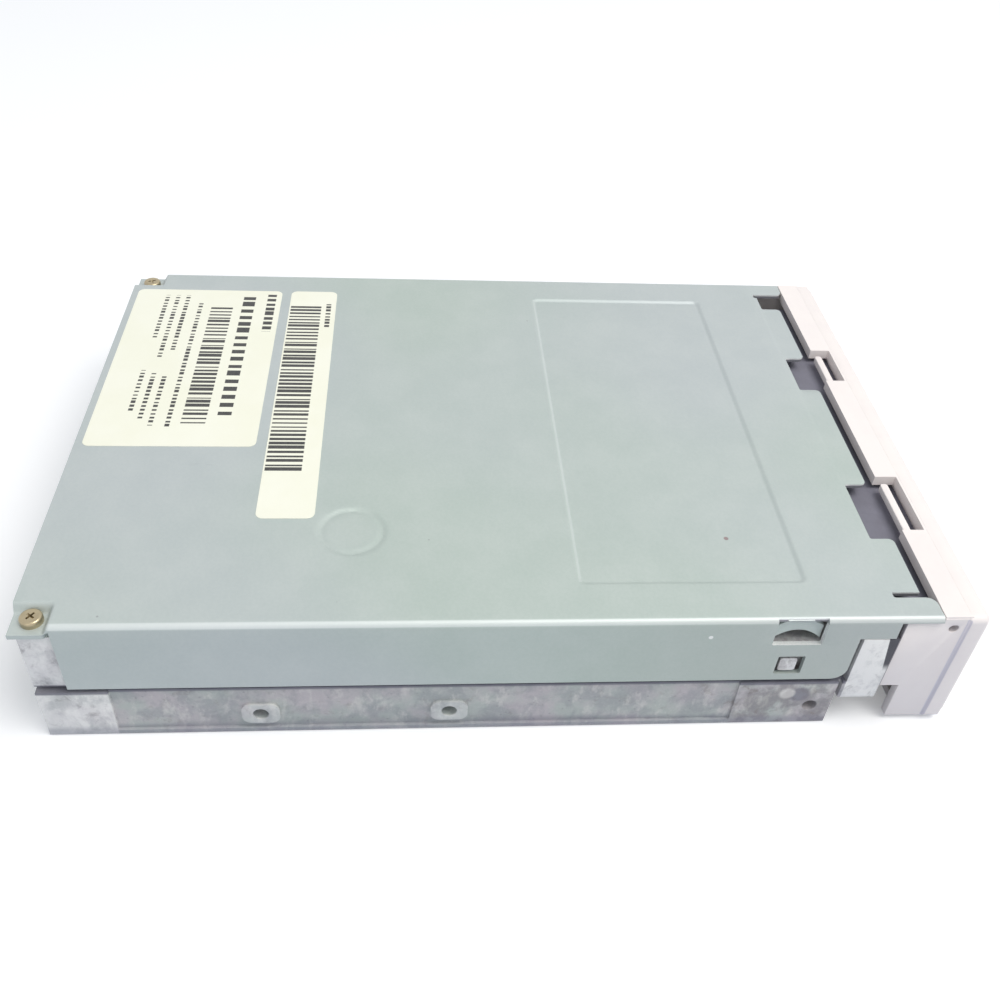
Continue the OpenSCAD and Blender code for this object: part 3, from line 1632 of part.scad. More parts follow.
module sensor_switches() {
    color("#33363b") for (x = switch_places) difference() {
        block([x - switch_half, switch_y - switch_half, deck_top],
            [x + switch_half, switch_y + switch_half, deck_top + switch_h]);
        pin_z(plunger_r + plunger_gap, deck_top - over, deck_top + switch_h + over, x, switch_y);
    }
}

module plunger(x) {
    color("#d9d4c4") pin_z(plunger_r, deck_top + plunger_travel + plunger_foot,
        disk_low_z + plunger_travel, x, switch_y);
}

module protect_plunger() {
    plunger(switch_places[0]);
}

module density_plunger() {
    plunger(switch_places[1]);
}

module disk_plunger() {
    plunger(switch_places[2]);
}

module in_frame() {
    translate([0, shift_y, 0]) children();
}

in_frame() die_cast_frame();
in_frame() top_cover();
in_frame() cover_screws();
in_frame() large_label();
in_frame() narrow_label();
in_frame() front_bezel();
in_frame() activity_led();
in_frame() led_leads();
in_frame() door_spring();
in_frame() spindle_motor_board();
in_frame() main_circuit_board();
in_frame() board_link_cable();
in_frame() inner_screws();
in_frame() spindle_bearing();
in_frame() stator_core();
in_frame() stator_coils();
in_frame() index_sensor();
in_frame() motor_driver_chip();
in_frame() signal_header_block();
in_frame() signal_header_pins();
in_frame() power_header_block();
in_frame() power_header_pins();
in_frame() controller_chip();
in_frame() board_components();
in_frame() cable_sockets();
in_frame() stepper_bracket();
in_frame() stepper_motor();
in_frame() stepper_cable();
in_frame() screw_end_bearing();
in_frame() guide_rods();
in_frame() rod_clamps();
in_frame() track_zero_sensor();
in_frame() sensor_switches();
in_frame() head_flex_cable();
in_frame() eject_slider();
in_frame() eject_button();
in_frame() slider_springs();
in_frame() disk_holder();
in_frame() holder_pins();
in_frame() lever_spring();
in_frame() shutter_lever();
in_frame() rotor_cup();
in_frame() rotor_magnet();
in_frame() hub_table();
in_frame() hub_magnet();
in_frame() drive_pin();
in_frame() spindle_shaft();
in_frame() head_carriage();
in_frame() lower_head();
in_frame() screw_follower();
in_frame() arm_hinge_pin();
in_frame() arm_spring();
in_frame() upper_arm();
in_frame() upper_head();
in_frame() lead_screw();
in_frame() slot_door();
in_frame() protect_plunger();
in_frame() density_plunger();
in_frame() disk_plunger();
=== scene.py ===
# %% [markdown]
# # A one-inch floppy disk drive
#
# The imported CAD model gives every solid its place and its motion. This lesson dresses it: it makes the
# sheet cover again with pressed folds, softens the edges of the cast and moulded pieces, and gives each
# surface a finish that is worked out from its own coordinates, so no picture file is needed.

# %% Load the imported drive
import math

import bpy
import numpy as np
from mathutils import Matrix, Vector


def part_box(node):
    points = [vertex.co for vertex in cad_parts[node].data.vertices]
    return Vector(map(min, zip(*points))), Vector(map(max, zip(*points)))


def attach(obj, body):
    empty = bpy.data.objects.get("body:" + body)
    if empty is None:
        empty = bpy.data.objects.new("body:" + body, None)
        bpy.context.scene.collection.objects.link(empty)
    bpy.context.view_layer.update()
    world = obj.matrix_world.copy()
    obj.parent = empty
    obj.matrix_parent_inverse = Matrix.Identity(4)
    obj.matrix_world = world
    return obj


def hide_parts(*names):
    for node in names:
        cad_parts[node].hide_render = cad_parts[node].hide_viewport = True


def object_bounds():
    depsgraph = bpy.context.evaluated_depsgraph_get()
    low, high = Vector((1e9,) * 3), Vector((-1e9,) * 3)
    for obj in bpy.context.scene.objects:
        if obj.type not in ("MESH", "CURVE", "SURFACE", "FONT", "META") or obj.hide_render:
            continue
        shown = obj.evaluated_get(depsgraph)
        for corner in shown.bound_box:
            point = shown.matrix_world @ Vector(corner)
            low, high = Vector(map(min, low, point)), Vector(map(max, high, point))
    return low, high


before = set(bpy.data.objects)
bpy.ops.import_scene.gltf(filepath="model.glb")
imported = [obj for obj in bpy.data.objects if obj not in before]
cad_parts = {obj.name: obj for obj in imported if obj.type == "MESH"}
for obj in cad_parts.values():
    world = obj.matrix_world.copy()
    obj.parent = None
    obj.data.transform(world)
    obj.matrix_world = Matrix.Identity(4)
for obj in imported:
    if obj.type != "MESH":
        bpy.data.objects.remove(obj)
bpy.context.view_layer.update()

# %% [markdown]
# ## Places
#
# All measured places are in millimetres, with y counted from the back of the front plate towards the
# connectors. The CAD frame has its origin below the middle of the drive and uses metres. One function
# turns the first into the second, and its shift is read from the rear end of the casting's own box.

# %% Millimetres to the frame
casting_rear = 144.5
plan_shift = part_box("die_cast_frame")[1][1] * 1000 - casting_rear


def at(x, y, z):
    """A measured place as a place in the frame."""
    return Vector((x, y + plan_shift, z)) / 1000


print("shift", round(plan_shift, 3), "mm")

# %% [markdown]
# ## Camera
#
# The photograph was squeezed sideways after it was taken, by 2.1 to 1. The camera stands where a camera
# that sees the drive's eight corners at their true distances must stand, and it keeps round holes round.

# %% Camera
turn = Vector((1.71175909, -1.77726687, 0.857254484))
see = Matrix.Rotation(turn.length, 3, turn.normalized())
bpy.ops.object.select_all(action="DESELECT")
bpy.ops.object.camera_add()
camera = bpy.context.object
camera.name = "camera"
axes = Matrix((see[0], -see[1], -see[2])).transposed().to_4x4()
camera.matrix_world = Matrix.Translation(at(-154.28, 87.19, 142.25)) @ axes
camera.data.sensor_width = 36
camera.data.lens = 37.55
camera.data.clip_start = 0.01
bpy.context.scene.camera = camera
bpy.context.scene.view_settings.view_transform = "Standard"
print("camera", [round(v, 4) for v in camera.location])

# %% [markdown]
# ## Finishes
#
# A finish is a sum of small patterns: colour drifts, grain, stains and scratches. Written as nodes by
# hand these sums are hard to read, so one class wraps a socket and lets Python's own signs add the nodes.

# %% A socket that can be reckoned with


class Value:
    def __init__(self, finish, socket):
        self.finish, self.socket = finish, socket

    def math(self, operation, other=None, swap=False):
        pair = [self] if other is None else ([other, self] if swap else [self, other])
        return self.finish.node("ShaderNodeMath", {"operation": operation}, dict(enumerate(pair)))

    def __add__(self, other):
        return self.math("ADD", other)

    def __sub__(self, other):
        return self.math("SUBTRACT", other)

    def __rsub__(self, other):
        return self.math("SUBTRACT", other, swap=True)

    def __mul__(self, other):
        return self.math("MULTIPLY", other)

    def __truediv__(self, other):
        return self.math("DIVIDE", other)

    def __pow__(self, other):
        return self.math("POWER", other)

    __radd__, __rmul__ = __add__, __mul__

    def clamp(self):
        return (self + 0).at_most(1).at_least(0)

    def at_most(self, other):
        return self.math("MINIMUM", other)

    def at_least(self, other):
        return self.math("MAXIMUM", other)

    def over(self, edge):
        return self.math("GREATER_THAN", edge)

    def size(self):
        return self.math("ABSOLUTE")

    def step(self, low, high):
        return self.finish.node("ShaderNodeMapRange", {"interpolation_type": "SMOOTHSTEP"},
                                {"Value": self, "From Min": low, "From Max": high})


class Finish:
    """One material, with its Principled shader and the node that each pattern comes from."""

    def __init__(self, name, colour=(0.5, 0.5, 0.5), **sockets):
        self.material = bpy.data.materials.new(name)
        self.material.use_nodes = True
        self.tree = self.material.node_tree
        self.shader = self.tree.nodes["Principled BSDF"]
        self.spot = None
        self.set(**{"Base Color": (*colour, 1)})
        self.set(**sockets)

    def node(self, kind, settings=None, inputs=None, out=0):
        node = self.tree.nodes.new(kind)
        for key, value in (settings or {}).items():
            setattr(node, key, value)
        for key, value in (inputs or {}).items():
            if isinstance(value, Value):
                self.tree.links.new(value.socket, node.inputs[key])
            else:
                node.inputs[key].default_value = value
        return Value(self, node.outputs[out])

    def place(self, stretch=(1, 1, 1), shift=(0, 0, 0)):
        spot = self.node("ShaderNodeTexCoord", out=3)
        if stretch == (1, 1, 1) and shift == (0, 0, 0):
            return spot
        return self.node("ShaderNodeMapping", None, {"Vector": spot, "Location": shift, "Scale": stretch})

    def axis(self, which):
        """A plan coordinate in millimetres."""
        parts = self.node("ShaderNodeSeparateXYZ", None, {0: self.place()}, out="XYZ".index(which))
        return parts * 1000 - (plan_shift if which == "Y" else 0)

    def noise(self, mm, detail=2, rough=0.5, stretch=(1, 1, 1), shift=(0, 0, 0), bend=0):
        return self.node("ShaderNodeTexNoise", None, {
            "Vector": self.place(stretch, shift), "Scale": 1000 / mm, "Detail": detail,
            "Roughness": rough, "Distortion": bend})

    def cells(self, mm, feature="F1", stretch=(1, 1, 1)):
        return self.node("ShaderNodeTexVoronoi", {"feature": feature},
                         {"Vector": self.place(stretch), "Scale": 1000 / mm})

    def mix(self, amount, low, high):
        low, high = [v if isinstance(v, Value) else (*v, 1) for v in (low, high)]
        return self.node("ShaderNodeMix", {"data_type": "RGBA", "clamp_factor": True},
                         {0: amount, 6: low, 7: high}, out=2)

    def set(self, **sockets):
        for key, value in sockets.items():
            key = key.replace("_", " ")
            if isinstance(value, Value):
                self.tree.links.new(value.socket, self.shader.inputs[key])
            else:
                self.shader.inputs[key].default_value = value

    def bump(self, height, depth, strength=1.0):
        """Height runs from 0 to 1, and depth is in millimetres."""
        self.set(Normal=self.node("ShaderNodeBump", None, {
            "Height": height, "Strength": strength, "Distance": depth / 1000}))
        return self


def past(value, place, soft=0.1):
    """0 before a place and 1 behind it, with a soft edge between."""
    return value.step(place - soft, place + soft)


def box_mask(finish, x0, x1, y0, y1, soft=0.05):
    x, y = finish.axis("X"), finish.axis("Y")
    return past(x, x0, soft) * (1 - past(x, x1, soft)) * past(y, y0, soft) * (1 - past(y, y1, soft))


def spot_mask(finish, axes, centre, r):
    """A small round mark, from two plan axes, its centre and its radius."""
    a, b = [finish.axis(axis) - place for axis, place in zip(axes, centre)]
    return 1 - ((a * a + b * b) ** 0.5).step(r * 0.6, r)


print("finish helper ready")

# %% [markdown]
# ### Plated sheet
#
# The cover is thin steel with a dull zinc plating. It looks flat pale grey from afar, but it drifts
# between green and blue over a hand's width, has a fine crystal grain, and carries a few rubbed marks.
# The folds and one long press line carry a painted highlight: they are painted lighter, as light caught
# there. The sizes of the sheet come first, because both its finish and its shape are worked out from them.

# %% Sizes of the sheet
half_w, top_z, fold_r, sheet_t = 50.8, 25.4, 1.0, 0.8
skirt_low, skirt_front = 11.3, 17.0
press_half, press_front, press_rear, press_r = 42.6, 24.4, 61.0, 1.2
disc_x, disc_y, disc_r = -30.6, 96.7, 5.75
print("sheet", 2 * half_w, "wide,", sheet_t, "thick")

# %% Cover finish
cover_finish = Finish("plated_cover_sheet", Metallic=0.25)
drift = cover_finish.noise(70, 1)
grain = cover_finish.noise(0.55, 3, 0.6)
cloud = cover_finish.noise(9, 3, 0.6)
scuffs = cover_finish.noise(3.5, 4, 0.75, stretch=(1, 0.12, 1), shift=(0.01, 0.02, 0)).step(0.7, 0.78)
specks = 1 - cover_finish.cells(17).step(0.008, 0.014)
tone = cover_finish.mix(drift.step(0.3, 0.7), (0.455, 0.53, 0.485), (0.485, 0.53, 0.535))
frosted = cloud.step(0.3, 0.75) * 0.16 + grain.step(0.3, 0.7) * 0.12
tone = cover_finish.mix(frosted, tone, (0.66, 0.69, 0.67))
tone = cover_finish.mix(scuffs * 0.25 + specks * 0.5, tone, (0.20, 0.20, 0.22))
print("plating", cover_finish.material.name)

# %% Marks on the cover
line_end = press_half - 0.4
near_side = 1 - past(cover_finish.axis("X"), 0.5 - half_w)
# Painted highlight: a thin lighter band along the press line's rear edge and along the upper half of each
# fold, standing for light caught there.
press_line_highlight = box_mask(cover_finish, -line_end, line_end, press_rear - 0.5, press_rear, 0.12)
fold_highlight = (past(cover_finish.axis("X").size(), half_w - 0.85, 0.15)
             * past(cover_finish.axis("Z"), top_z - 0.675, 0.125))
tone = cover_finish.mix(press_line_highlight * 0.22 + fold_highlight * 0.45, tone, (0.84, 0.87, 0.87))
# The near skirt is painted darker and browner towards the front.
near_skirt_darkening = near_side * (1 - past(cover_finish.axis("Y"), 45, 30))
tone = cover_finish.mix(near_skirt_darkening * 0.2, tone, (0.30, 0.28, 0.25))
chip = spot_mask(cover_finish, "YZ", (41.1, 21.8), 0.45) * near_side
tone = cover_finish.mix(chip, tone, (0.85, 0.86, 0.84))
tick = spot_mask(cover_finish, "XY", (-32.1, 35.1), 0.5)
tone = cover_finish.mix(tick * 0.7, tone, (0.25, 0.12, 0.13))
cover_finish.set(**{"Base Color": tone}, Roughness=0.42 + grain * 0.14 + scuffs * 0.1)
cover_finish.bump(grain * 0.7 + cloud * 0.3, 0.012, 0.5)
# The length printed is that of the painted highlight along the press line.
print("rubbed", round(2 * line_end, 1), "mm of press line")

# %% [markdown]
# Where shears cut the sheet, bare steel shows. The upper part of a cut is sheared bright and is painted
# brighter still as a painted highlight, and below it the metal tore off and stayed dark, so from above
# an edge is a thin bright line on a dark one.

# %% Sheared edge finish
edge_highlight_finish = Finish("sheared_edge_painted_highlight", Metallic=0.3)
burr = edge_highlight_finish.noise(0.3, 3, 0.7, stretch=(1, 1, 3))
edge_z = edge_highlight_finish.axis("Z")
# Painted highlight: the bare steel's light tone is set brighter than the steel, as the light its cut
# catches.
tone = edge_highlight_finish.mix(burr.step(0.3, 0.7), (0.84, 0.85, 0.84), (0.94, 0.95, 0.93))
broken = edge_z.step(24.35, 24.5) * (1 - past(edge_z, top_z - 0.37, 0.05))
tone = edge_highlight_finish.mix(broken * 0.85, tone, (0.16, 0.16, 0.19))
edge_highlight_finish.set(**{"Base Color": tone}, Roughness=0.35 + burr * 0.2)
edge_highlight_finish.bump(burr, 0.03)
print(edge_highlight_finish.material.name)

# %% [markdown]
# ### Raw casting
#
# The frame is a zinc or aluminium casting without paint. The melt leaves rounded blotches where it
# cooled at different speeds, brownish stains from the release agent and dull pits, and its raised pads
# are painted lighter.

# %% Casting finish
cast_finish = Finish("raw_casting", Metallic=0.2)
blotch = cast_finish.noise(4.5, 5, 0.62, bend=0.3)
hue = cast_finish.noise(7, 3, 0.6, shift=(0.2, 0.4, 0.1))
stain = cast_finish.noise(3.0, 4, 0.7, shift=(0.3, 0.1, 0.2), bend=0.5)
streak = cast_finish.noise(1.9, 4, 0.65, stretch=(1, 1, 0.5), shift=(0.5, 0.7, 0.1))
pits = cast_finish.cells(1.7).step(0.05, 0.16)
sand = cast_finish.noise(0.45, 3, 0.7)
cast_x, cast_y, cast_z = cast_finish.axis("X").size(), cast_finish.axis("Y"), cast_finish.axis("Z")
front_end = 1 - cast_y.step(30, 44)
tone = cast_finish.mix(hue.step(0.35, 0.65), (0.44, 0.475, 0.455), (0.49, 0.46, 0.48))
tone = cast_finish.mix(blotch.step(0.42, 0.62) * (0.5 + front_end * 0.25), tone, (0.28, 0.29, 0.32))
tone = cast_finish.mix(stain.step(0.54, 0.7) * (0.4 + front_end * 0.4), tone, (0.27, 0.25, 0.24))
bloom = streak.step(0.5, 0.7) * 0.5 + sand.step(0.45, 0.75) * 0.2
tone = cast_finish.mix(bloom, tone, (0.66, 0.65, 0.62))
tone = cast_finish.mix((1 - pits) * 0.35, tone, (0.22, 0.22, 0.25))
print(cast_finish.material.name)

# %% [markdown]
# The raised faces are painted lighter: the rear blocks, the front posts, the bosses and the lugs. The
# places where one of them ends are named, and each mask says which side of them is meant. The oval pad
# at the front end is painted light, and the recess round it is painted dark as shade.

# %% Lighter raised faces
post_rear, rail_front, rear_block = 16.3, 34.5, 133.7
# The raised faces are painted lighter: rear blocks, front posts, bosses and lugs.
post_face = 1 - past(cast_y, post_rear)
bosses = past(cast_x, 50.55) * past(cast_z, 1.0, 0.4) * past(cast_y, rail_front) * 0.45
lug_faces = past(cast_x, 50.2) * past(cast_z, 12.65, 0.15)
lightened = (past(cast_y, rear_block, 0.2) + post_face + bosses + lug_faces).clamp()
worn = (0.66 + post_face * 0.25 + streak.step(0.35, 0.65) * 0.2 - blotch.step(0.45, 0.62) * 0.3
        - stain.step(0.54, 0.7) * 0.28)
tone = cast_finish.mix(lightened * worn, tone, (0.88, 0.87, 0.85))
oval_pad = (25.6, 7.6)
# Painted shade: the recess round the oval pad is painted dark and bluish, as the shade in it.
recess_shade = spot_mask(cast_finish, "YZ", (23.4, 7.3), 2.2) * (1 - spot_mask(cast_finish, "YZ", oval_pad, 1.7))
tone = cast_finish.mix(recess_shade * 0.7, tone, (0.16, 0.16, 0.21))
tone = cast_finish.mix(spot_mask(cast_finish, "YZ", oval_pad, 1.6) * 0.8, tone, (0.80, 0.79, 0.77))
browned = (1 - past(cast_y, rail_front - 0.5, 0.5)) * past(cast_y, skirt_front + 0.5, 0.2)
browned = browned * blotch.step(0.4, 0.58)
tone = cast_finish.mix(browned * 0.35, tone, (0.24, 0.20, 0.19))
print("scraped behind", rear_block, "and ahead of", post_rear)

# %% [markdown]
# The gap under and in front of each skirt is painted dark, as the shade that falls there under the sheet,
# and the slit between each front post and the panel's flange is painted nearly black as shade. The lowest
# part of the sides is painted darker and bluer, as the shade near the floor.

# %% Painted shade in the gaps
# Painted shade under and in front of each skirt.
flank = past(cast_x, 48.2, 0.2)
under_skirt = cast_z.step(9.7, 10.2) * (1 - cast_z.step(skirt_low + 0.3, skirt_low + 0.6))
under_skirt = under_skirt * past(cast_y, post_rear + 0.1, 0.2)
beside_skirt = (past(cast_z, 10.5) * cast_y.step(post_rear - 0.05, post_rear + 0.1)
                * (1 - cast_y.step(skirt_front + 0.3, skirt_front + 0.6)))
gap_shade = ((under_skirt + beside_skirt) * flank).clamp()
tone = cast_finish.mix(gap_shade * 0.85, tone, (0.13, 0.13, 0.17))
# Painted shade: the slit between each front post and the flange, painted nearly black.
post_slit_shade = (1 - (cast_y - (cast_z - 14) * 0.13).step(11.2, 11.35)) * past(cast_z, 14, 1)
tone = cast_finish.mix(post_slit_shade * flank, tone, (0.07, 0.07, 0.085))
# Painted shade: the lowest part of the sides is painted darker and bluer, as the shade near the floor.
low_side_shade = (1 - past(cast_z, 1.6, 0.8)) * past(cast_x, 49.2, 0.2)
tone = cast_finish.mix(low_side_shade * 0.4, tone, (0.20, 0.20, 0.27))
cast_finish.set(**{"Base Color": tone}, Roughness=0.48 + blotch * 0.15 + sand * 0.1)
cast_finish.bump(sand * 0.35 + blotch * 0.3 + pits * 0.35, 0.12, 0.8)
print("grime up to", skirt_front + 0.6, "mm behind the plate")

# %% [markdown]
# ### Moulded panel
#
# The front panel is a warm off-white plastic. Its mould was spark-eroded, which leaves a very fine
# matt grain, and handling has left a faint grey film in wide clouds. The step's slope, the flanges' rear
# ends and the dimple at each end are painted darker and bluer, as the shade that falls there.

# %% Panel finish
flange_top, flange_side, flange_under, flange_end = 25.0, 50.4, 0.8, 10.2
mark_y, mark_z, mark_r = 2.3, 22.8, 1.1
panel_finish = Finish("moulded_panel")
film = panel_finish.noise(12, 4, 0.65)
spark = panel_finish.noise(0.22, 2, 0.5)
rub = panel_finish.noise(2.4, 4, 0.7, stretch=(0.3, 1, 1)).step(0.62, 0.8)
tone = panel_finish.mix(film.step(0.35, 0.75), (0.965, 0.895, 0.86), (0.93, 0.855, 0.83))
tone = panel_finish.mix(rub * 0.22, tone, (0.74, 0.67, 0.66))
panel_x, panel_y, panel_z = panel_finish.axis("X").size(), panel_finish.axis("Y"), panel_finish.axis("Z")
# Painted shade: the step's slope at each side, the flanges' rear ends and the inside of each dimple are
# painted darker and bluer, as the shade there.
on_step = past(panel_y, 0) * (1 - panel_y.step(0.4, 0.75))
on_side = past(panel_x, flange_side - 0.3) * (1 - panel_z.step(flange_top - 0.3, flange_top))
tone = panel_finish.mix(on_step * on_side * 0.55, tone, (0.50, 0.49, 0.62))
end_wall_shade = panel_y.step(flange_end - 0.2, flange_end - 0.05)
tone = panel_finish.mix(end_wall_shade * 0.8, tone, (0.20, 0.19, 0.22))
dimple_shade = spot_mask(panel_finish, "YZ", (mark_y, mark_z), mark_r - 0.1)
dimple_shade = dimple_shade * (1 - panel_x.step(flange_side - 0.2, flange_side - 0.05))
tone = panel_finish.mix(dimple_shade * 0.9, tone, (0.17, 0.16, 0.21))
panel_finish.set(**{"Base Color": tone}, Roughness=0.46 + spark * 0.12)
panel_finish.bump(spark, 0.02, 0.6)
print(panel_finish.material.name)

# %% [markdown]
# ### Labels
#
# The two labels are cream coated paper. What was printed on them is left off: they carry rows of plain
# bars of uneven width, which a rounded-down coordinate and a noise without pattern give.

# %% Label finishes


def label_finish(name, rows):
    """Cream paper with rows of bars: each row is x0, x1, y0, y1, pitch, least and most share of ink."""
    paper = Finish(name, Roughness=0.5)
    fibre, age = paper.noise(0.8, 3, 0.6), paper.noise(14, 3, 0.6)
    tone = paper.mix(age.step(0.3, 0.7) * 0.7 + fibre * 0.3, (0.98, 0.97, 0.84), (0.94, 0.93, 0.77))
    for number, (x0, x1, y0, y1, pitch, least, most) in enumerate(rows):
        place = paper.axis("X") / pitch
        cell = place.math("FLOOR")
        seed = cell + number * 17.3
        dice = paper.node("ShaderNodeTexWhiteNoise", {"noise_dimensions": "1D"}, {"W": seed})
        ink = (dice * (most - least) + least - (place - cell)).over(0) * box_mask(paper, x0, x1, y0, y1)
        tone = paper.mix(ink * (0.93 + fibre * 0.07), tone, (0.02, 0.02, 0.025))
    paper.set(**{"Base Color": tone})
    return paper.bump(fibre, 0.01, 0.4)


small_h, small_pitch = 0.85, 1.15
small_rows = [(x0, x1, y, y + small_h, small_pitch, 0.3, 0.75) for x0, x1, y in (
    (-4.0, 39.0, 130.2), (21.0, 41.5, 133.2), (18.5, 41.5, 135.3), (25.0, 41.5, 137.4),
    (-3.2, 12.0, 133.2), (-1.5, 13.0, 135.3), (1.0, 14.0, 137.4))]
large_paper = label_finish("cream_label_large", [
    (-3.2, 37, 124.0, 128.4, 1.25, 0.25, 0.85), (28, 42.3, 115.5, 117.3, 1.8, 0.5, 0.85),
    (-0.6, 41.2, 119.7, 122.2, 2.5, 0.4, 0.75)] + small_rows)
narrow_paper = label_finish("cream_label_narrow", [
    (-15.9, 38.3, 105.9, 112.2, 1.2, 0.3, 0.85), (29.8, 39.0, 103.9, 104.9, 1.2, 0.35, 0.75)])
print("label finishes ready")

# %% [markdown]
# ### Metals, plastics and boards inside
#
# Each of these needs one or two patterns: brushed lines on drawn cans, turned rings on the rotor, a
# weave of tracks under the boards' green lacquer, wire wound on the coils. One function makes the
# plain metals and plastics with their own grain and wear, and the special ones follow.

# %% Plain finishes


def plain(name, colour, worn, mm=0.6, metal=0.0, rough=0.4, stretch=(1, 1, 1), depth=0.015, **sockets):
    """A finish of one colour with a worn tone in clouds, and a grain of some millimetres."""
    finish = Finish(name, Metallic=metal, **sockets)
    grain = finish.noise(mm, 3, 0.6, stretch)
    cloud = finish.noise(mm * 12, 3, 0.6)
    tone = finish.mix(cloud.step(0.35, 0.7) * 0.6 + grain * 0.25, colour, worn)
    finish.set(**{"Base Color": tone}, Roughness=rough + grain * 0.15)
    return finish.bump(grain, depth, 0.6)


plated = plain("plated_inner_steel", (0.62, 0.63, 0.64), (0.48, 0.49, 0.51), 0.5, 0.85, 0.3)
zinc = plain("passivated_screw", (0.52, 0.45, 0.30), (0.34, 0.28, 0.19), 0.5, 0.9, 0.26)
# Painted shade: the disk holder's sheet is painted dark violet, as the shade inside the drive.
bay_sheet_painted_shade = plain("bay_sheet_painted_shade", (0.16, 0.155, 0.18), (0.125, 0.12, 0.145), 0.5, 0.2, 0.5)
bright = plain("ground_steel", (0.80, 0.80, 0.81), (0.66, 0.67, 0.69), 0.3, 1.0, 0.14, (1, 0.06, 1), 0.004)
spring = plain("spring_wire", (0.56, 0.56, 0.58), (0.40, 0.40, 0.42), 0.3, 1.0, 0.26)
can = plain("drawn_can", (0.60, 0.60, 0.61), (0.44, 0.45, 0.46), 0.35, 0.95, 0.3, (1, 0.05, 1), 0.008)
black = plain("black_moulding", (0.028, 0.028, 0.031), (0.06, 0.06, 0.063), 0.25, 0, 0.42)
chip_black = plain("epoxy_package", (0.022, 0.023, 0.026), (0.05, 0.05, 0.052), 0.2, 0, 0.5)
carriage_grey = plain("filled_plastic", (0.055, 0.058, 0.062), (0.10, 0.10, 0.10), 0.3, 0, 0.45)
nylon = plain("natural_nylon", (0.80, 0.77, 0.68), (0.72, 0.68, 0.58), 0.5, 0, 0.36)
cream_part = plain("cream_moulding", (0.80, 0.76, 0.68), (0.72, 0.68, 0.60), 0.4, 0, 0.38)
button_cream = plain("button_moulding", (0.80, 0.75, 0.69), (0.70, 0.65, 0.60), 0.24, 0, 0.42)
ferrite = plain("ferrite", (0.07, 0.065, 0.06), (0.11, 0.10, 0.09), 0.3, 0.1, 0.55)
ceramic = plain("lapped_ceramic", (0.16, 0.13, 0.11), (0.22, 0.19, 0.17), 0.3, 0, 0.16)
gold = plain("gold_flash", (0.86, 0.66, 0.30), (0.70, 0.55, 0.30), 0.2, 1.0, 0.22)
tin = plain("tinned_pin", (0.72, 0.71, 0.68), (0.56, 0.55, 0.53), 0.2, 1.0, 0.28)
laminate = plain("stator_sheet", (0.34, 0.34, 0.36), (0.24, 0.22, 0.22), 0.35, 0.85, 0.35, (1, 1, 6), 0.05)
arm_metal = plain("pressed_arm", (0.55, 0.57, 0.59), (0.45, 0.46, 0.48), 0.5, 0.8, 0.34)
lamp = plain("lamp_lens", (0.10, 0.42, 0.12), (0.14, 0.50, 0.16), 0.8, 0, 0.12,
             **{"Transmission Weight": 0.45})
# Painted shade: the baffle's dark violet is the colour of the shade inside the drive.
shade_baffle_finish = plain("baffle_painted_shade", (0.21, 0.205, 0.25), (0.17, 0.165, 0.20), 0.4, 0, 0.55)
print("plain finishes ready")

# %% Turned, wound and etched finishes
spindle_y = 43
turned = Finish("turned_metal", Metallic=1.0)
ring_x, ring_y = turned.axis("X"), turned.axis("Y") - spindle_y
rings = ((ring_x * ring_x + ring_y * ring_y) ** 0.5 * 9).math("SINE") * 0.5 + 0.5
haze = turned.noise(3, 3, 0.6)
turned.set(**{"Base Color": turned.mix(haze.step(0.3, 0.8), (0.74, 0.74, 0.75), (0.60, 0.61, 0.63))},
           Roughness=0.2 + rings * 0.1 + haze * 0.1)
turned.bump(rings, 0.01, 0.6)

copper = Finish("wound_copper", Metallic=0.9, Roughness=0.3)
layers = (copper.axis("Z") * 18).math("SINE") * 0.5 + 0.5
copper.set(**{"Base Color": copper.mix(layers, (0.30, 0.10, 0.04), (0.72, 0.33, 0.14))})
copper.bump(layers, 0.08, 0.8)

board = Finish("lacquered_board")
lattice = board.cells(3.4, "DISTANCE_TO_EDGE", (1, 0.6, 1))
tracks = (1 - lattice.step(0.05, 0.09)) * board.noise(6, 2).step(0.42, 0.5)
weave = board.noise(0.4, 2, stretch=(1, 4, 1)) * 0.5 + board.noise(0.4, 2, stretch=(4, 1, 1)) * 0.5
pads = 1 - board.cells(2.3).step(0.13, 0.17)
tone = board.mix(weave * 0.5, (0.035, 0.16, 0.075), (0.06, 0.22, 0.11))
tone = board.mix(tracks * 0.7, tone, (0.13, 0.34, 0.17))
tone = board.mix(pads, tone, (0.72, 0.72, 0.68))
board.set(**{"Base Color": tone, "Metallic": pads * 0.9}, Roughness=0.26 + weave * 0.12)
board.bump(tracks * 0.6 + pads * 0.6 + weave * 0.1, 0.06, 0.7)

amber = Finish("amber_film", Metallic=0.1)
lanes = (amber.axis("X") * 5.2).math("SINE").step(-0.2, 0.2)
amber.set(**{"Base Color": amber.mix(lanes, (0.42, 0.19, 0.05), (0.62, 0.36, 0.13))},
          Roughness=0.25 + lanes * 0.1)
amber.bump(lanes, 0.03)

ribbon = Finish("ribbed_ribbon")
ribs = (ribbon.axis("X") * 6.3).math("SINE") * 0.5 + 0.5
ribbon.set(**{"Base Color": ribbon.mix(ribs, (0.50, 0.43, 0.27), (0.68, 0.61, 0.42))},
           Roughness=0.42 + ribs * 0.08)
ribbon.bump(ribs, 0.1)

parts_finish = Finish("board_parts")
dots = parts_finish.noise(1.1, 2)
tone = parts_finish.mix(dots.step(0.4, 0.6), (0.30, 0.24, 0.17), (0.52, 0.50, 0.46))
parts_finish.set(**{"Base Color": tone}, Roughness=0.35 + dots * 0.15)
parts_finish.bump(dots, 0.03)
print("special finishes ready")

# %% [markdown]
# ## What wears which finish
#
# A CAD node whose shape is right keeps it and only gets its finish.

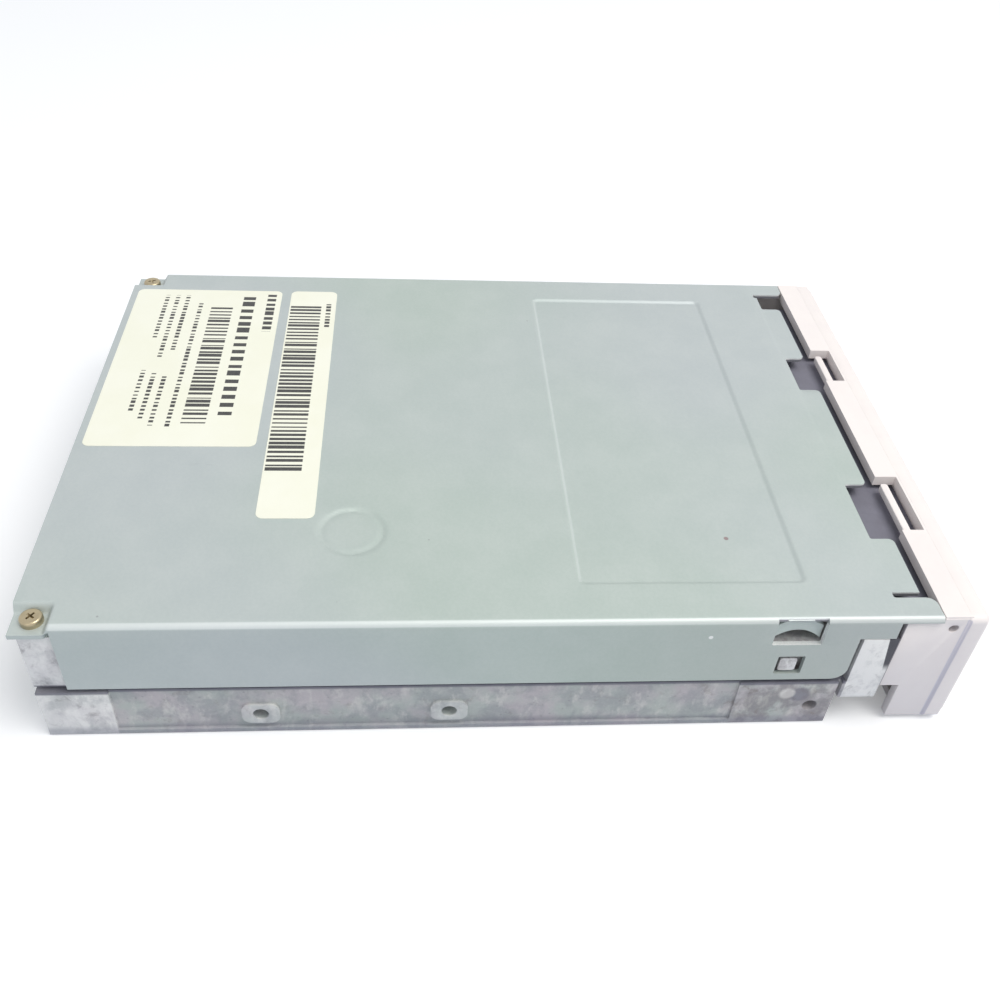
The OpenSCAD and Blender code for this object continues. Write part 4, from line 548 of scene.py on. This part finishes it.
# %% Dress the CAD nodes
wears = (
    (bay_sheet_painted_shade, "disk_holder"),
    (plated, "eject_slider rod_clamps stepper_bracket screw_end_bearing shutter_lever"),
    (bright, "guide_rods lead_screw spindle_shaft arm_hinge_pin holder_pins drive_pin"),
    (spring, "slider_springs lever_spring arm_spring door_spring led_leads screw_follower"),
    (turned, "rotor_cup hub_table spindle_bearing"),
    (can, "stepper_motor"),
    (zinc, "cover_screws inner_screws"),
    (ferrite, "rotor_magnet hub_magnet"),
    (laminate, "stator_core"),
    (copper, "stator_coils"),
    (board, "main_circuit_board spindle_motor_board"),
    (amber, "head_flex_cable"),
    (ribbon, "stepper_cable board_link_cable"),
    (parts_finish, "board_components"),
    (black, "signal_header_block sensor_switches index_sensor track_zero_sensor slot_door"),
    (chip_black, "controller_chip motor_driver_chip"),
    (carriage_grey, "head_carriage"),
    (nylon, "power_header_block cable_sockets"),
    (arm_metal, "upper_arm"),
    (ceramic, "lower_head upper_head"),
    (gold, "signal_header_pins"),
    (tin, "power_header_pins"),
    (lamp, "activity_led"),
    (button_cream, "eject_button"),
    (cream_part, "protect_plunger density_plunger disk_plunger"),
    (cast_finish, "die_cast_frame"),
    (panel_finish, "front_bezel"),
    (cover_finish, "top_cover"),
    (large_paper, "large_label"),
    (narrow_paper, "narrow_label"),
)
dressed = set()
for finish, names in wears:
    for name in names.split():
        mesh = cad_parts[name].data
        mesh.materials.clear()
        mesh.materials.append(finish.material)
        dressed.add(name)
print("dressed", len(dressed), "of", len(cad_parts), "left", sorted(set(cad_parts) - dressed))

# %% [markdown]
# ## Tools for shaping
#
# An operator works on whatever is selected, so every step starts from an empty selection. These few
# functions pick one object, choose faces by their middle and normal, and apply modifiers and places.

# %% Shaping tools


def pick(*objects):
    bpy.ops.object.select_all(action="DESELECT")
    for thing in objects:
        thing.select_set(True)
    bpy.context.view_layer.objects.active = objects[0]
    return objects[0]


def settle(thing):
    """Puts the object's place into its mesh."""
    pick(thing)
    bpy.ops.object.transform_apply(location=True, rotation=True, scale=True)
    return thing


def modify(thing, kind, **settings):
    pick(thing)
    modifier = thing.modifiers.new(kind.lower(), kind)
    for key, value in settings.items():
        setattr(modifier, key, value)
    bpy.ops.object.modifier_apply(modifier=modifier.name)
    return thing


def edit(thing, *steps):
    """Runs edit-mode operators on the whole mesh."""
    pick(thing)
    bpy.ops.object.mode_set(mode="EDIT")
    bpy.ops.mesh.select_all(action="SELECT")
    for step in steps:
        step()
    bpy.ops.object.mode_set(mode="OBJECT")
    return thing


def choose(thing, faces=None, edges=None, verts=None):
    """Selects by a test on each face's middle and normal, each edge's or each point's place, in mm."""
    pick(thing)
    bpy.ops.object.mode_set(mode="EDIT")
    kind = "FACE" if faces else "EDGE" if edges else "VERT"
    bpy.ops.mesh.select_mode(type=kind)
    bpy.ops.mesh.select_all(action="DESELECT")
    bpy.ops.object.mode_set(mode="OBJECT")
    mesh, back = thing.data, Vector((0, plan_shift, 0))
    if faces:
        for face in mesh.polygons:
            face.select = bool(faces(face.center * 1000 - back, face.normal))
    elif edges:
        for edge in mesh.edges:
            a, b = [mesh.vertices[i].co * 1000 - back for i in edge.vertices]
            edge.select = bool(edges(a, b))
    else:
        for point in mesh.vertices:
            point.select = bool(verts(point.co * 1000 - back))
    bpy.ops.object.mode_set(mode="EDIT")


def brick(low, high, name="brick", round_by=0.0, steps=3, only=None):
    """A cube between two corners in mm, with its upright, or otherwise chosen, edges rounded."""
    low, high = Vector(low), Vector(high)
    bpy.ops.object.select_all(action="DESELECT")
    bpy.ops.mesh.primitive_cube_add(size=1, location=at(*((low + high) / 2)))
    thing = bpy.context.object
    thing.name = name
    thing.scale = (high - low) / 1000
    settle(thing)
    if round_by:
        axis = 2 if only is None else only
        choose(thing, edges=lambda a, b: abs((b - a).normalized()[axis]) > 0.9)
        bpy.ops.mesh.bevel(offset=round_by / 1000, segments=steps, affect="EDGES")
        bpy.ops.object.mode_set(mode="OBJECT")
    return thing


def rod(x, y, z0, z1, r, name="rod", sides=32):
    """An upright cylinder between two heights."""
    bpy.ops.object.select_all(action="DESELECT")
    bpy.ops.mesh.primitive_cylinder_add(vertices=sides, radius=r / 1000, depth=(z1 - z0) / 1000,
                                        location=at(x, y, (z0 + z1) / 2))
    thing = bpy.context.object
    thing.name = name
    return settle(thing)


def joined(things, name):
    pick(*things)
    if len(things) > 1:
        bpy.ops.object.join()
    things[0].name = name
    return things[0]


def carve(thing, cutters, operation="DIFFERENCE"):
    cutter = joined(cutters, "cutter")
    modify(thing, "BOOLEAN", operation=operation, solver="EXACT", object=cutter,
           use_self=len(cutters) > 1)
    bpy.data.objects.remove(cutter)
    return thing


def side_brick(side, low, high, **more):
    """A brick on the right side of the drive, or its mirror image on the left."""
    xs = sorted((side * low[0], side * high[0]))
    return brick((xs[0], *low[1:]), (xs[1], *high[1:]), **more)


def smooth(thing, degrees=32):
    pick(thing)
    bpy.ops.object.shade_smooth_by_angle(angle=math.radians(degrees))
    return thing


def finish_piece(thing, finish, body, *nodes):
    """Gives a piece its finish, the body that it rides on and the CAD nodes that it stands for."""
    thing.data.materials.clear()
    thing.data.materials.append(finish.material)
    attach(thing, body)
    if nodes:
        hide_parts(*nodes)
    count = sum(len(face.vertices) - 2 for face in thing.data.polygons)
    print(thing.name, "triangles", count)
    return thing


sharp_angle, flat_angle = math.radians(38), math.radians(4)


def softened(node, name, width, steps=2, shape=None):
    """A copy of a CAD node, merged, with its flat faces joined again and its sharp edges rounded."""
    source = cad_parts[node]
    thing = bpy.data.objects.new(name, source.data.copy())
    bpy.context.scene.collection.objects.link(thing)
    edit(thing, lambda: bpy.ops.mesh.remove_doubles(threshold=2e-6),
         lambda: bpy.ops.mesh.dissolve_limited(angle_limit=flat_angle))
    if shape:
        shape(thing)
    modify(thing, "BEVEL", width=width / 1000, segments=steps, limit_method="ANGLE",
           angle_limit=sharp_angle, use_clamp_overlap=True, harden_normals=False)
    return smooth(thing, 40)


print("shaping tools ready")

# %% [markdown]
# ## The sheet cover
#
# The real cover is one sheet of 0.8 mm steel: pressed with a shallow rectangle and a round dimple, its
# two rear corners drawn down to take a screw, then folded over the sides. The quickest way would be a
# box with bevelled edges, but a press leaves soft slopes, and a bevel can't give those. So the outer
# skin starts as a grid that lies along the unrolled sheet, with its lines close together wherever the
# press tool bent it. The grid is laid over the folds, pressed in, and only then made thick.

# %% Lines of the grid
nose_r, rear_y, tongue_y = 2.4, 145.5, 4.5
lip_front, lip_root, tab_x, tab_y = 6.65, 10.6, 45.5, 139.3
fold_z = top_z - fold_r


def lines(stops):
    """Line places from (place, spacing up to the next stop) pairs."""
    places = []
    for (a, gap), (b, _) in zip(stops, stops[1:]):
        count = max(1, round((b - a) / gap))
        places += [a + (b - a) * i / count for i in range(count)]
    return places + [stops[-1][0]]


half = lines([(0, 4), (-disc_x - 6.8, 0.42), (-disc_x + 6.8, 1.2), (press_half - 1.2, 0.2),
              (press_half + 1.2, 0.6), (tab_x - 0.3, 0.16), (tab_x + 1.7, 0.9), (half_w - fold_r, 1)])
across = [-x for x in half[:0:-1]] + half
along = lines([(tongue_y, 1), (lip_root - 0.2, 0.3), (lip_root + 1, 2.65), (skirt_front - 0.1, 0.3),
               (19.6, 3.6), (press_front - 1.2, 0.2), (press_front + 1.4, 4), (press_rear - 1.4, 0.2),
               (press_rear + 1.2, 4), (disc_y - 6.7, 0.42), (disc_y + 6.7, 4), (tab_y - 0.7, 0.17),
               (tab_y + 1.9, 0.8), (rear_y, 1)])
fold_steps, skirt_steps = 8, 8
arc = [90 * i / fold_steps for i in range(1, fold_steps + 1)]
drop = [fold_z - i * (fold_z - skirt_low) / skirt_steps for i in range(1, skirt_steps + 1)]
print("lines", len(across) + 2 * (len(arc) + len(drop)), "by", len(along))

# %% [markdown]
# The press tool's shapes are heights over the flat sheet. A smooth step gives each slope, and the
# rounded rectangle comes from the distance to its outline.

# %% Heights that the press tool gives
press_mid, press_reach = (press_rear + press_front) / 2, (press_rear - press_front) / 2
press_depth, disc_depth, disc_rise, lip_drop, tab_drop = 0.42, 0.36, 0.2, 0.10, 1.6


def ease(value, low, high):
    """A smooth step: 0 below low, 1 above high."""
    t = np.clip((value - low) / (high - low), 0, 1)
    return t * t * (3 - 2 * t)


def pressed(x, y):
    """How far the sheet is pressed down: the rectangle, the disc with its raised middle, the lips."""
    px, py = np.abs(x) - (press_half - press_r), np.abs(y - press_mid) - (press_reach - press_r)
    outline = np.hypot(np.maximum(px, 0), np.maximum(py, 0)) + np.minimum(np.maximum(px, py), 0) - press_r
    down = press_depth * ease(-outline, -0.25, 0.65)
    inside = disc_r - np.hypot(x - disc_x, y - disc_y)
    down += disc_depth * ease(inside, 0, 0.65) - disc_rise * ease(inside, 0.85, 1.65)
    down += lip_drop * (1 - ease(y, lip_root, lip_root + 0.9))
    return down


def tab_share(x, y):
    """How much of a rear corner's lowered tab a place belongs to."""
    return ease(np.abs(x), tab_x, tab_x + 1.2) * ease(y, tab_y, tab_y + 1.3)


print("deepest press", round(float(pressed(np.array(0.0), np.array(press_mid))), 3), "mm")

# %% Lay the grid over the folds
profile = ([(-half_w, z, "skirt") for z in drop[::-1]] + [(-a, None, "fold") for a in arc[::-1]]
           + [(x, top_z, "top") for x in across] + [(a, None, "fold") for a in arc]
           + [(half_w, z, "skirt") for z in drop])
bpy.ops.object.select_all(action="DESELECT")
bpy.ops.mesh.primitive_grid_add(x_subdivisions=len(profile) - 1, y_subdivisions=len(along) - 1, size=1)
cover = bpy.context.object
cover.name = "sheet_cover"
flat = np.empty(len(cover.data.vertices) * 3)
cover.data.vertices.foreach_get("co", flat)
flat = flat.reshape(-1, 3)
column = np.rint((flat[:, 0] + 0.5) * (len(profile) - 1)).astype(int)
row = np.rint((flat[:, 1] + 0.5) * (len(along) - 1)).astype(int)
y = np.array(along)[row]
x, z = np.empty(len(flat)), np.empty(len(flat))
print("grid", len(profile), "by", len(along))

# %% [markdown]
# Each line of the grid now gets its place round the sheet's profile. The skirt's front lower corner is
# rounded, so the lines of the skirt end on a curve there.

# %% Places of the grid's points
for i, (place, height, part) in enumerate(profile):
    here = column == i
    if part == "fold":
        side, a = math.copysign(1, place), math.radians(abs(place))
        x[here] = side * (half_w - fold_r + fold_r * math.sin(a))
        z[here] = fold_z + fold_r * math.cos(a)
    else:
        x[here], z[here] = place, height
        if part == "skirt":
            back = np.clip(skirt_front + nose_r - y[here], 0, nose_r)
            low_edge = skirt_low + nose_r - np.sqrt(nose_r ** 2 - back ** 2)
            z[here] = fold_z - (fold_z - height) * (fold_z - low_edge) / (fold_z - skirt_low)
on_top = np.array([part != "skirt" for _, _, part in profile])[column]
share = tab_share(x, y) * on_top
z = z * (1 - share) + (top_z - tab_drop) * share - pressed(x, y) * on_top * (np.abs(x) < 49.8)
cover.data.vertices.foreach_set("co", (np.stack([x, y + plan_shift, z], 1) / 1000).ravel())
cover.data.update()
choose(cover, faces=lambda c, n: abs(c.x) > half_w - 0.003 and c.y > 139.5)
bpy.ops.mesh.delete(type="FACE")
bpy.ops.object.mode_set(mode="OBJECT")
edit(cover, lambda: bpy.ops.mesh.normals_make_consistent(inside=False))
up = sum(f.normal.z * f.area for f in cover.data.polygons if abs(f.center.x) < 0.04)
print("points", len(cover.data.vertices), "faces up" if up > 0 else "faces down")
if up < 0:
    edit(cover, lambda: bpy.ops.mesh.flip_normals())
modify(cover, "SOLIDIFY", thickness=sheet_t / 1000, offset=-1, use_even_offset=True)

# %% [markdown]
# ### What the shears cut
#
# The front edge has three lips between cut-outs, the skirts start in steps, and two windows pierce each
# side. Each cutter is a block with rounded edges that passes through the sheet, and one exact Boolean
# removes them all. The comb that cuts the lips is a bar with three teeth.

# %% Comb for the lips
cut_outs = ((40.0, 45.8), (9.9, 20.9), (-32.6, -18.7))
lip_ends = (40.0, 20.9, 9.9, -18.7, -32.6)
below, above, far = 22, 27, 60
comb = brick((-46.0, -5, below), (46.0, lip_front, above), "comb")
for x0, x1 in cut_outs:
    carve(comb, [brick((x0, 5, below), (x1, lip_root, above))], "UNION")


def upright_at(a, b, xs, y):
    """Whether an edge stands upright at one of some places across and one place along."""
    return (abs(b.z - a.z) > 1 and abs(a.x - b.x) < 0.01 and abs(a.y - y) < 0.02
            and min(abs(a.x - place) for place in xs) < 0.02)


choose(comb, edges=lambda a, b: upright_at(a, b, lip_ends, lip_front))
bpy.ops.mesh.bevel(offset=1e-3, segments=6, affect="EDGES")
bpy.ops.object.mode_set(mode="OBJECT")
choose(comb, edges=lambda a, b: upright_at(a, b, [x for pair in cut_outs for x in pair], lip_root))
bpy.ops.mesh.bevel(offset=0.35e-3, segments=3, affect="EDGES")
bpy.ops.object.mode_set(mode="OBJECT")
print("comb faces", len(comb.data.polygons))

# %% Cutters
window_y, window_low, small_y, small_z = (23.0, 31.0), 19.8, (24.8, 29.2), (12.8, 17.0)
corner_x, corner_y, corner_r, cut_r = 47.6, 6.1, 1.6, 0.25
cuts = [comb]
for x0, x1 in ((44.7, 46.0), (-46.0, -44.9)):
    cuts.append(brick((x0, 5, below), (x1, 11.3, above), round_by=0.3))
for side in (1, -1):
    corner = side_brick(side, (45.5, 3.5, below), (corner_x, corner_y, above))
    carve(corner, [rod(side * corner_x, corner_y, 20, 29, corner_r, sides=48)])
    cuts += [
        corner,
        side_brick(side, (49.2, 0, 5), (far, 11.2, 24.5)),
        side_brick(side, (49.2, 0, 5), (far, skirt_front, 21.0)),
        side_brick(side, (50.2, window_y[0], window_low), (far, window_y[1], above), round_by=cut_r, only=0),
        side_brick(side, (49.5, window_y[0], window_low), (far, window_y[1], 24.62), round_by=cut_r, only=0),
        side_brick(side, (49.5, small_y[0], small_z[0]), (far, small_y[1], small_z[1]), round_by=cut_r,
                   only=0),
    ]
print("cutters", len(cuts))
carve(cover, cuts)
print("cover faces", len(cover.data.polygons))

# %% [markdown]
# The holes for the two screws go through the lowered corners. A tongue is pressed in at each side
# window of the fold: it leans inwards, is narrow at its root and ends in an arch, and holds the cover
# against the casting.

# %% Screw holes and spring tongues
screw_x, screw_y, hole_r = 48, 142.5, 1.25
carve(cover, [rod(side * screw_x, screw_y, 20, above, hole_r, sides=24) for side in (1, -1)])


def tongue(side):
    """A thin grid in the fold window: s runs across it, and t runs down it from 0 to 1."""
    rows, columns = 14, 16
    bpy.ops.object.select_all(action="DESELECT")
    bpy.ops.mesh.primitive_grid_add(x_subdivisions=columns, y_subdivisions=rows, size=1)
    thing = bpy.context.object
    for point in thing.data.vertices:
        s, t = point.co.x * 2, 0.5 - point.co.y
        grown = float(ease(np.float64(t), 0.0, 0.42))
        wide, middle = 2.1 + 1.75 * grown, 27.35 - 0.35 * grown
        deep = (2.9 + 1.9 * s * s) * t
        lean = 0.7 + 0.75 * math.sin(min(1.0, t * 1.15) * math.pi * 0.62)
        point.co = at(side * (half_w - lean), middle + s * wide, 25.05 - deep)
    edit(thing, lambda: bpy.ops.mesh.normals_make_consistent(inside=False))
    modify(thing, "SOLIDIFY", thickness=0.0005, offset=0)
    return thing


cover = joined([cover, tongue(1), tongue(-1)], "sheet_cover")
print("with tongues", len(cover.data.polygons), "faces")

# %% [markdown]
# Every sharp edge of the sheet is now broken by a tenth of a millimetre, and the cut faces get the bare
# steel finish with its painted highlight. They are chosen by where they lie and which way they point.

# %% Sheared edges
edit(cover, lambda: bpy.ops.mesh.remove_doubles(threshold=1e-6))
modify(cover, "BEVEL", width=0.00009, segments=2, limit_method="ANGLE", angle_limit=math.radians(50),
       use_clamp_overlap=True)
smooth(cover, 34)
finish_piece(cover, cover_finish, "drive_body", "top_cover")
cover.data.materials.append(edge_highlight_finish.material)


def sheared(c, n):
    """Whether a face is part of a cut edge: of the top, of the front's bevels or of a skirt."""
    top = c.z > 24.55 and abs(c.x) < 50.3 and abs(n.z) < 0.35
    front = c.z > 24.9 and abs(c.x) < 49.7 and c.y < 11.8 and abs(n.z) < 0.95
    skirt = 19 < c.z < 24.35 and abs(c.x) > 49.95 and abs(n.x) < 0.35 and c.y < 139
    return top or front or skirt


choose(cover, faces=sheared)
cover.active_material_index = 1
bpy.ops.object.material_slot_assign()
bpy.ops.object.mode_set(mode="OBJECT")
print("bare edge faces", sum(face.material_index == 1 for face in cover.data.polygons))

# %% [markdown]
# ## Cover screws
#
# Two pan-head screws with a yellow passivated zinc coat. The head is a cylinder with its rim beveled in
# several steps until it is domed, and a cross cut out with two tapered bars.

# %% Cover screws


def pan_screw(x, y, seat, r, h, turn_by, shank):
    """A pan-head screw that sits on a seat height and is turned by some degrees."""
    head = rod(x, y, seat, seat + h, r, sides=40)
    choose(head, edges=lambda a, b: min(a.z, b.z) > seat + h - 0.01)
    bpy.ops.mesh.bevel(offset=0.45e-3, segments=5, affect="EDGES")
    bpy.ops.object.mode_set(mode="OBJECT")
    bars = []
    for angle in (turn_by, turn_by + 90):
        bar = brick((x - r * 0.62, y - 0.2, seat + h - 0.65), (x + r * 0.62, y + 0.2, seat + h + 0.5))
        choose(bar, verts=lambda p: p.z < seat + h)
        bpy.ops.transform.resize(value=(0.35, 0.7, 1), center_override=at(x, y, seat + h))
        bpy.ops.object.mode_set(mode="OBJECT")
        centre, turn = at(x, y, 0), Matrix.Rotation(math.radians(angle), 4, "Z")
        bar.data.transform(Matrix.Translation(centre) @ turn @ Matrix.Translation(-centre))
        bars.append(bar)
    carve(head, bars)
    stem = rod(x, y, seat - shank, seat + 0.02, 1.0, sides=24)
    return smooth(joined([head, stem], "cover_screw"), 30)


tab_z, head_r, head_h, shank = top_z - tab_drop, 1.7, 1.2, 5
screws = joined([pan_screw(side * screw_x, screw_y, tab_z, head_r, head_h, turn_by, shank)
                 for side, turn_by in ((1, 20), (-1, 52))], "pan_head_screws")
finish_piece(screws, zinc, "drive_body", "cover_screws")

# %% [markdown]
# ## Labels
#
# Each label is a thin sheet with rounded corners, a tenth of a millimetre thick. A block with beveled
# upright edges is enough, because the paper is flat. Its thickness shows as a fine edge.

# %% Labels
for node, name, paper in (("large_label", "large_paper_label", large_paper),
                          ("narrow_label", "narrow_paper_label", narrow_paper)):
    low, high = [Vector(c) * 1000 - Vector((0, plan_shift, 0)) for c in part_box(node)]
    sheet = brick(low, high, name, round_by=1.3, steps=6)
    choose(sheet, edges=lambda a, b: min(a.z, b.z) > high.z - 0.01)
    bpy.ops.mesh.bevel(offset=0.03e-3, segments=1, affect="EDGES")
    bpy.ops.object.mode_set(mode="OBJECT")
    finish_piece(smooth(sheet, 30), paper, "drive_body", node)

# %% [markdown]
# ## Casting and panel
#
# Both come out of moulds, so no edge is knife-sharp. The CAD shapes are right, and copies of them get
# their sharp edges rounded: a wide round on the casting, a small crisp one on the panel. Before that, a
# groove under and in front of each skirt makes the dark gap that the sheet leaves over the casting, and
# a pocket behind each small window holds a rounded lug.

# %% Softened casting
gap_low, gap_high, pocket_low, pocket_high = 10.45, 11.5, 12.2, 17.6
hollows = (
    ((48.9, post_rear, gap_low), (51.5, 146, gap_high)),
    ((48.9, post_rear, gap_low), (51.5, post_rear + 1, 20.9)),
    ((48.9, 24.2, pocket_low), (51.5, 29.8, pocket_high)),
)


def shape_casting(thing):
    """Clears a dark gap round each skirt and a pocket behind each small window."""
    carve(thing, [side_brick(side, low, high) for side in (1, -1) for low, high in hollows])


casting = softened("die_cast_frame", "cast_frame_body", 0.22, shape=shape_casting)
lugs = [side_brick(side, (48.8, 25.8, 13.3), (50.5, 28.6, 16.2), round_by=0.45, only=0) for side in (1, -1)]
casting = joined([casting] + lugs, "cast_frame_body")
finish_piece(casting, cast_finish, "drive_body", "die_cast_frame")

# %% [markdown]
# On the real panel the step behind the front plate slopes, the dimple at each end is narrow and deep,
# and the top flange holds two snap fingers, each in a pocket. The CAD solid is simpler in all three.
# The flat face round the step is cut into triangles first, so that it can bend when its edge moves. The
# flange with the pockets is laid over the solid as a separate land, and the fingers stand free in it.

# %% Softened panel
clip_spans = ((13.1, 23.9), (-30.5, -16.6))
slope, flange_rear, flange_low = 0.35e-3, 4.32, 23.45


def at_step(p):
    """Whether a point lies on the outline of the step, where the flanges meet the plate."""
    return abs(p.y) < 0.02 and min(abs(p.z - flange_top), abs(p.z - flange_under),
                                   abs(abs(p.x) - flange_side)) < 0.03


def in_dimple(p, side, r):
    return p.x * side > 49.3 and math.hypot(p.y - mark_y, p.z - mark_z) < r


def shape_panel(thing):
    """Slopes the step behind the plate, deepens the two dimples and opens the clips."""
    choose(thing, faces=lambda c, n: abs(c.y) < 0.02 and abs(n.y) > 0.9)
    bpy.ops.mesh.quads_convert_to_tris(quad_method="BEAUTY", ngon_method="BEAUTY")
    bpy.ops.object.mode_set(mode="OBJECT")
    choose(thing, verts=at_step)
    bpy.ops.transform.translate(value=(0, slope, 0))
    bpy.ops.object.mode_set(mode="OBJECT")
    for side in (1, -1):
        choose(thing, verts=lambda p: in_dimple(p, side, mark_r + 0.2))
        bpy.ops.transform.resize(value=(1, 0.75, 0.75), center_override=at(side * 50, mark_y, mark_z))
        bpy.ops.object.mode_set(mode="OBJECT")
        choose(thing, verts=lambda p: in_dimple(p, side, mark_r) and p.x * side < 50.1)
        bpy.ops.transform.translate(value=(-side * 0.8e-3, 0, 0))
        bpy.ops.object.mode_set(mode="OBJECT")
    carve(thing, [brick((x0, 0.4, 22.9), (x1, 6, above)) for x0, x1 in clip_spans])


panel = softened("front_bezel", "front_panel", 0.14, shape=shape_panel)

# %% Snap fingers and the flange round them
fingers = [brick((x0 - 0.4, 2.4, flange_low + 0.05), (x1 - 1.3, 3.75, 24.85), "finger",
                 round_by=0.5, steps=4) for x0, x1 in clip_spans]
for finger in fingers:
    modify(finger, "BEVEL", width=0.00012, segments=2, limit_method="ANGLE", angle_limit=math.radians(50))
land = brick((-50.3, -0.2, flange_low), (50.3, flange_rear, top_z - 0.04), "land")
carve(land, [brick((x0 + 0.03, 0.43, 22.9), (x1 - 0.03, 6, above)) for x0, x1 in clip_spans])
panel = joined([panel, land] + fingers, "front_panel")
smooth(panel, 40)
finish_piece(panel, panel_finish, "drive_body", "front_bezel")

# %% [markdown]
# A dark lip under the cover's cut-outs closes the view to the inside, as on the real drive; its dark
# violet colour is painted shade. It has no CAD node, so it only rides on the body. The button is the
# CAD's own, with its edges rounded.

# %% Baffle and button
baffle = brick((-44.6, -0.3, 21.95), (44.6, 12, 22.5), "slot_shade_baffle", round_by=0.25, only=0)
finish_piece(smooth(baffle, 30), shade_baffle_finish, "drive_body")
button = softened("eject_button", "push_button", 0.3, steps=3)
finish_piece(button, button_cream, "slider", "eject_button")

# %% [markdown]
# ## Floor and light
#
# The drive stands on a white surface in flat, bright light. A large soft lamp above gives the top its
# brightness and leaves the near side a little darker, and a weak one lifts that side. The white that the
# camera and reflections see in floor and sky comes from the ray's kind, so it adds no light to the drive.

# %% Floor
bpy.ops.object.select_all(action="DESELECT")
bpy.ops.mesh.primitive_plane_add(size=6, location=(0, 0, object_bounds()[0][2] - 0.0002))
floor = bpy.context.object
floor.name = "floor"
settle(floor)
ground = Finish("pale_floor", (0.92, 0.92, 0.93), Roughness=0.9)
path = ground.tree.nodes.new("ShaderNodeLightPath")
seen = Value(ground, path.outputs["Is Camera Ray"]) + Value(ground, path.outputs["Is Glossy Ray"])
seen = (seen + Value(ground, path.outputs["Is Transmission Ray"])).at_most(1)
ground.set(**{"Emission Color": ground.mix(seen, (0, 0, 0), (0.2, 0.2, 0.2)), "Emission Strength": 1.0,
              "Base Color": ground.mix(seen, (0.50, 0.54, 0.64), (0.92, 0.92, 0.93)),
              "Specular IOR Level": 0.0})
floor.data.materials.append(ground.material)
print("floor at", round(floor.data.vertices[0].co.z * 1000, 2), "mm")

# %% Sky and lamp
world = bpy.data.worlds.new("sky")
bpy.context.scene.world = world
world.use_nodes = True
sky = world.node_tree.nodes
background = sky["Background"]
background.inputs["Color"].default_value = (0.91, 0.96, 1.02, 1)
background.inputs["Strength"].default_value = 0.52
white = sky.new("ShaderNodeBackground")
white.inputs["Color"].default_value = (1, 1, 1, 1)
ray, either, third, blend = [sky.new(kind) for kind in (
    "ShaderNodeLightPath", "ShaderNodeMath", "ShaderNodeMath", "ShaderNodeMixShader")]
for math_node in (either, third):
    math_node.operation = "MAXIMUM"
links = world.node_tree.links
links.new(ray.outputs["Is Camera Ray"], either.inputs[0])
links.new(ray.outputs["Is Glossy Ray"], either.inputs[1])
links.new(either.outputs[0], third.inputs[0])
links.new(ray.outputs["Is Transmission Ray"], third.inputs[1])
links.new(third.outputs[0], blend.inputs[0])
links.new(background.outputs[0], blend.inputs[1])
links.new(white.outputs[0], blend.inputs[2])
links.new(blend.outputs[0], sky["World Output"].inputs["Surface"])


def soft_lamp(name, place, aim, size, power):
    lamp_data = bpy.data.lights.new(name, "AREA")
    lamp_data.shape, lamp_data.size, lamp_data.energy = "DISK", size, power
    lamp_data.color = (1, 0.985, 0.95)
    lamp_object = bpy.data.objects.new(name, lamp_data)
    bpy.context.scene.collection.objects.link(lamp_object)
    lamp_object.location = place
    lamp_object.rotation_euler = (Vector(aim) - Vector(place)).to_track_quat("-Z", "Y").to_euler()
    return lamp_object


soft_lamp("key", (-0.22, -0.4, 0.95), (0, 0, 0), 0.7, 6.7)
soft_lamp("fill", (-0.8, 0.3, 0.5), (0, 0, 0.01), 0.8, 0.8)
print("lights ready")
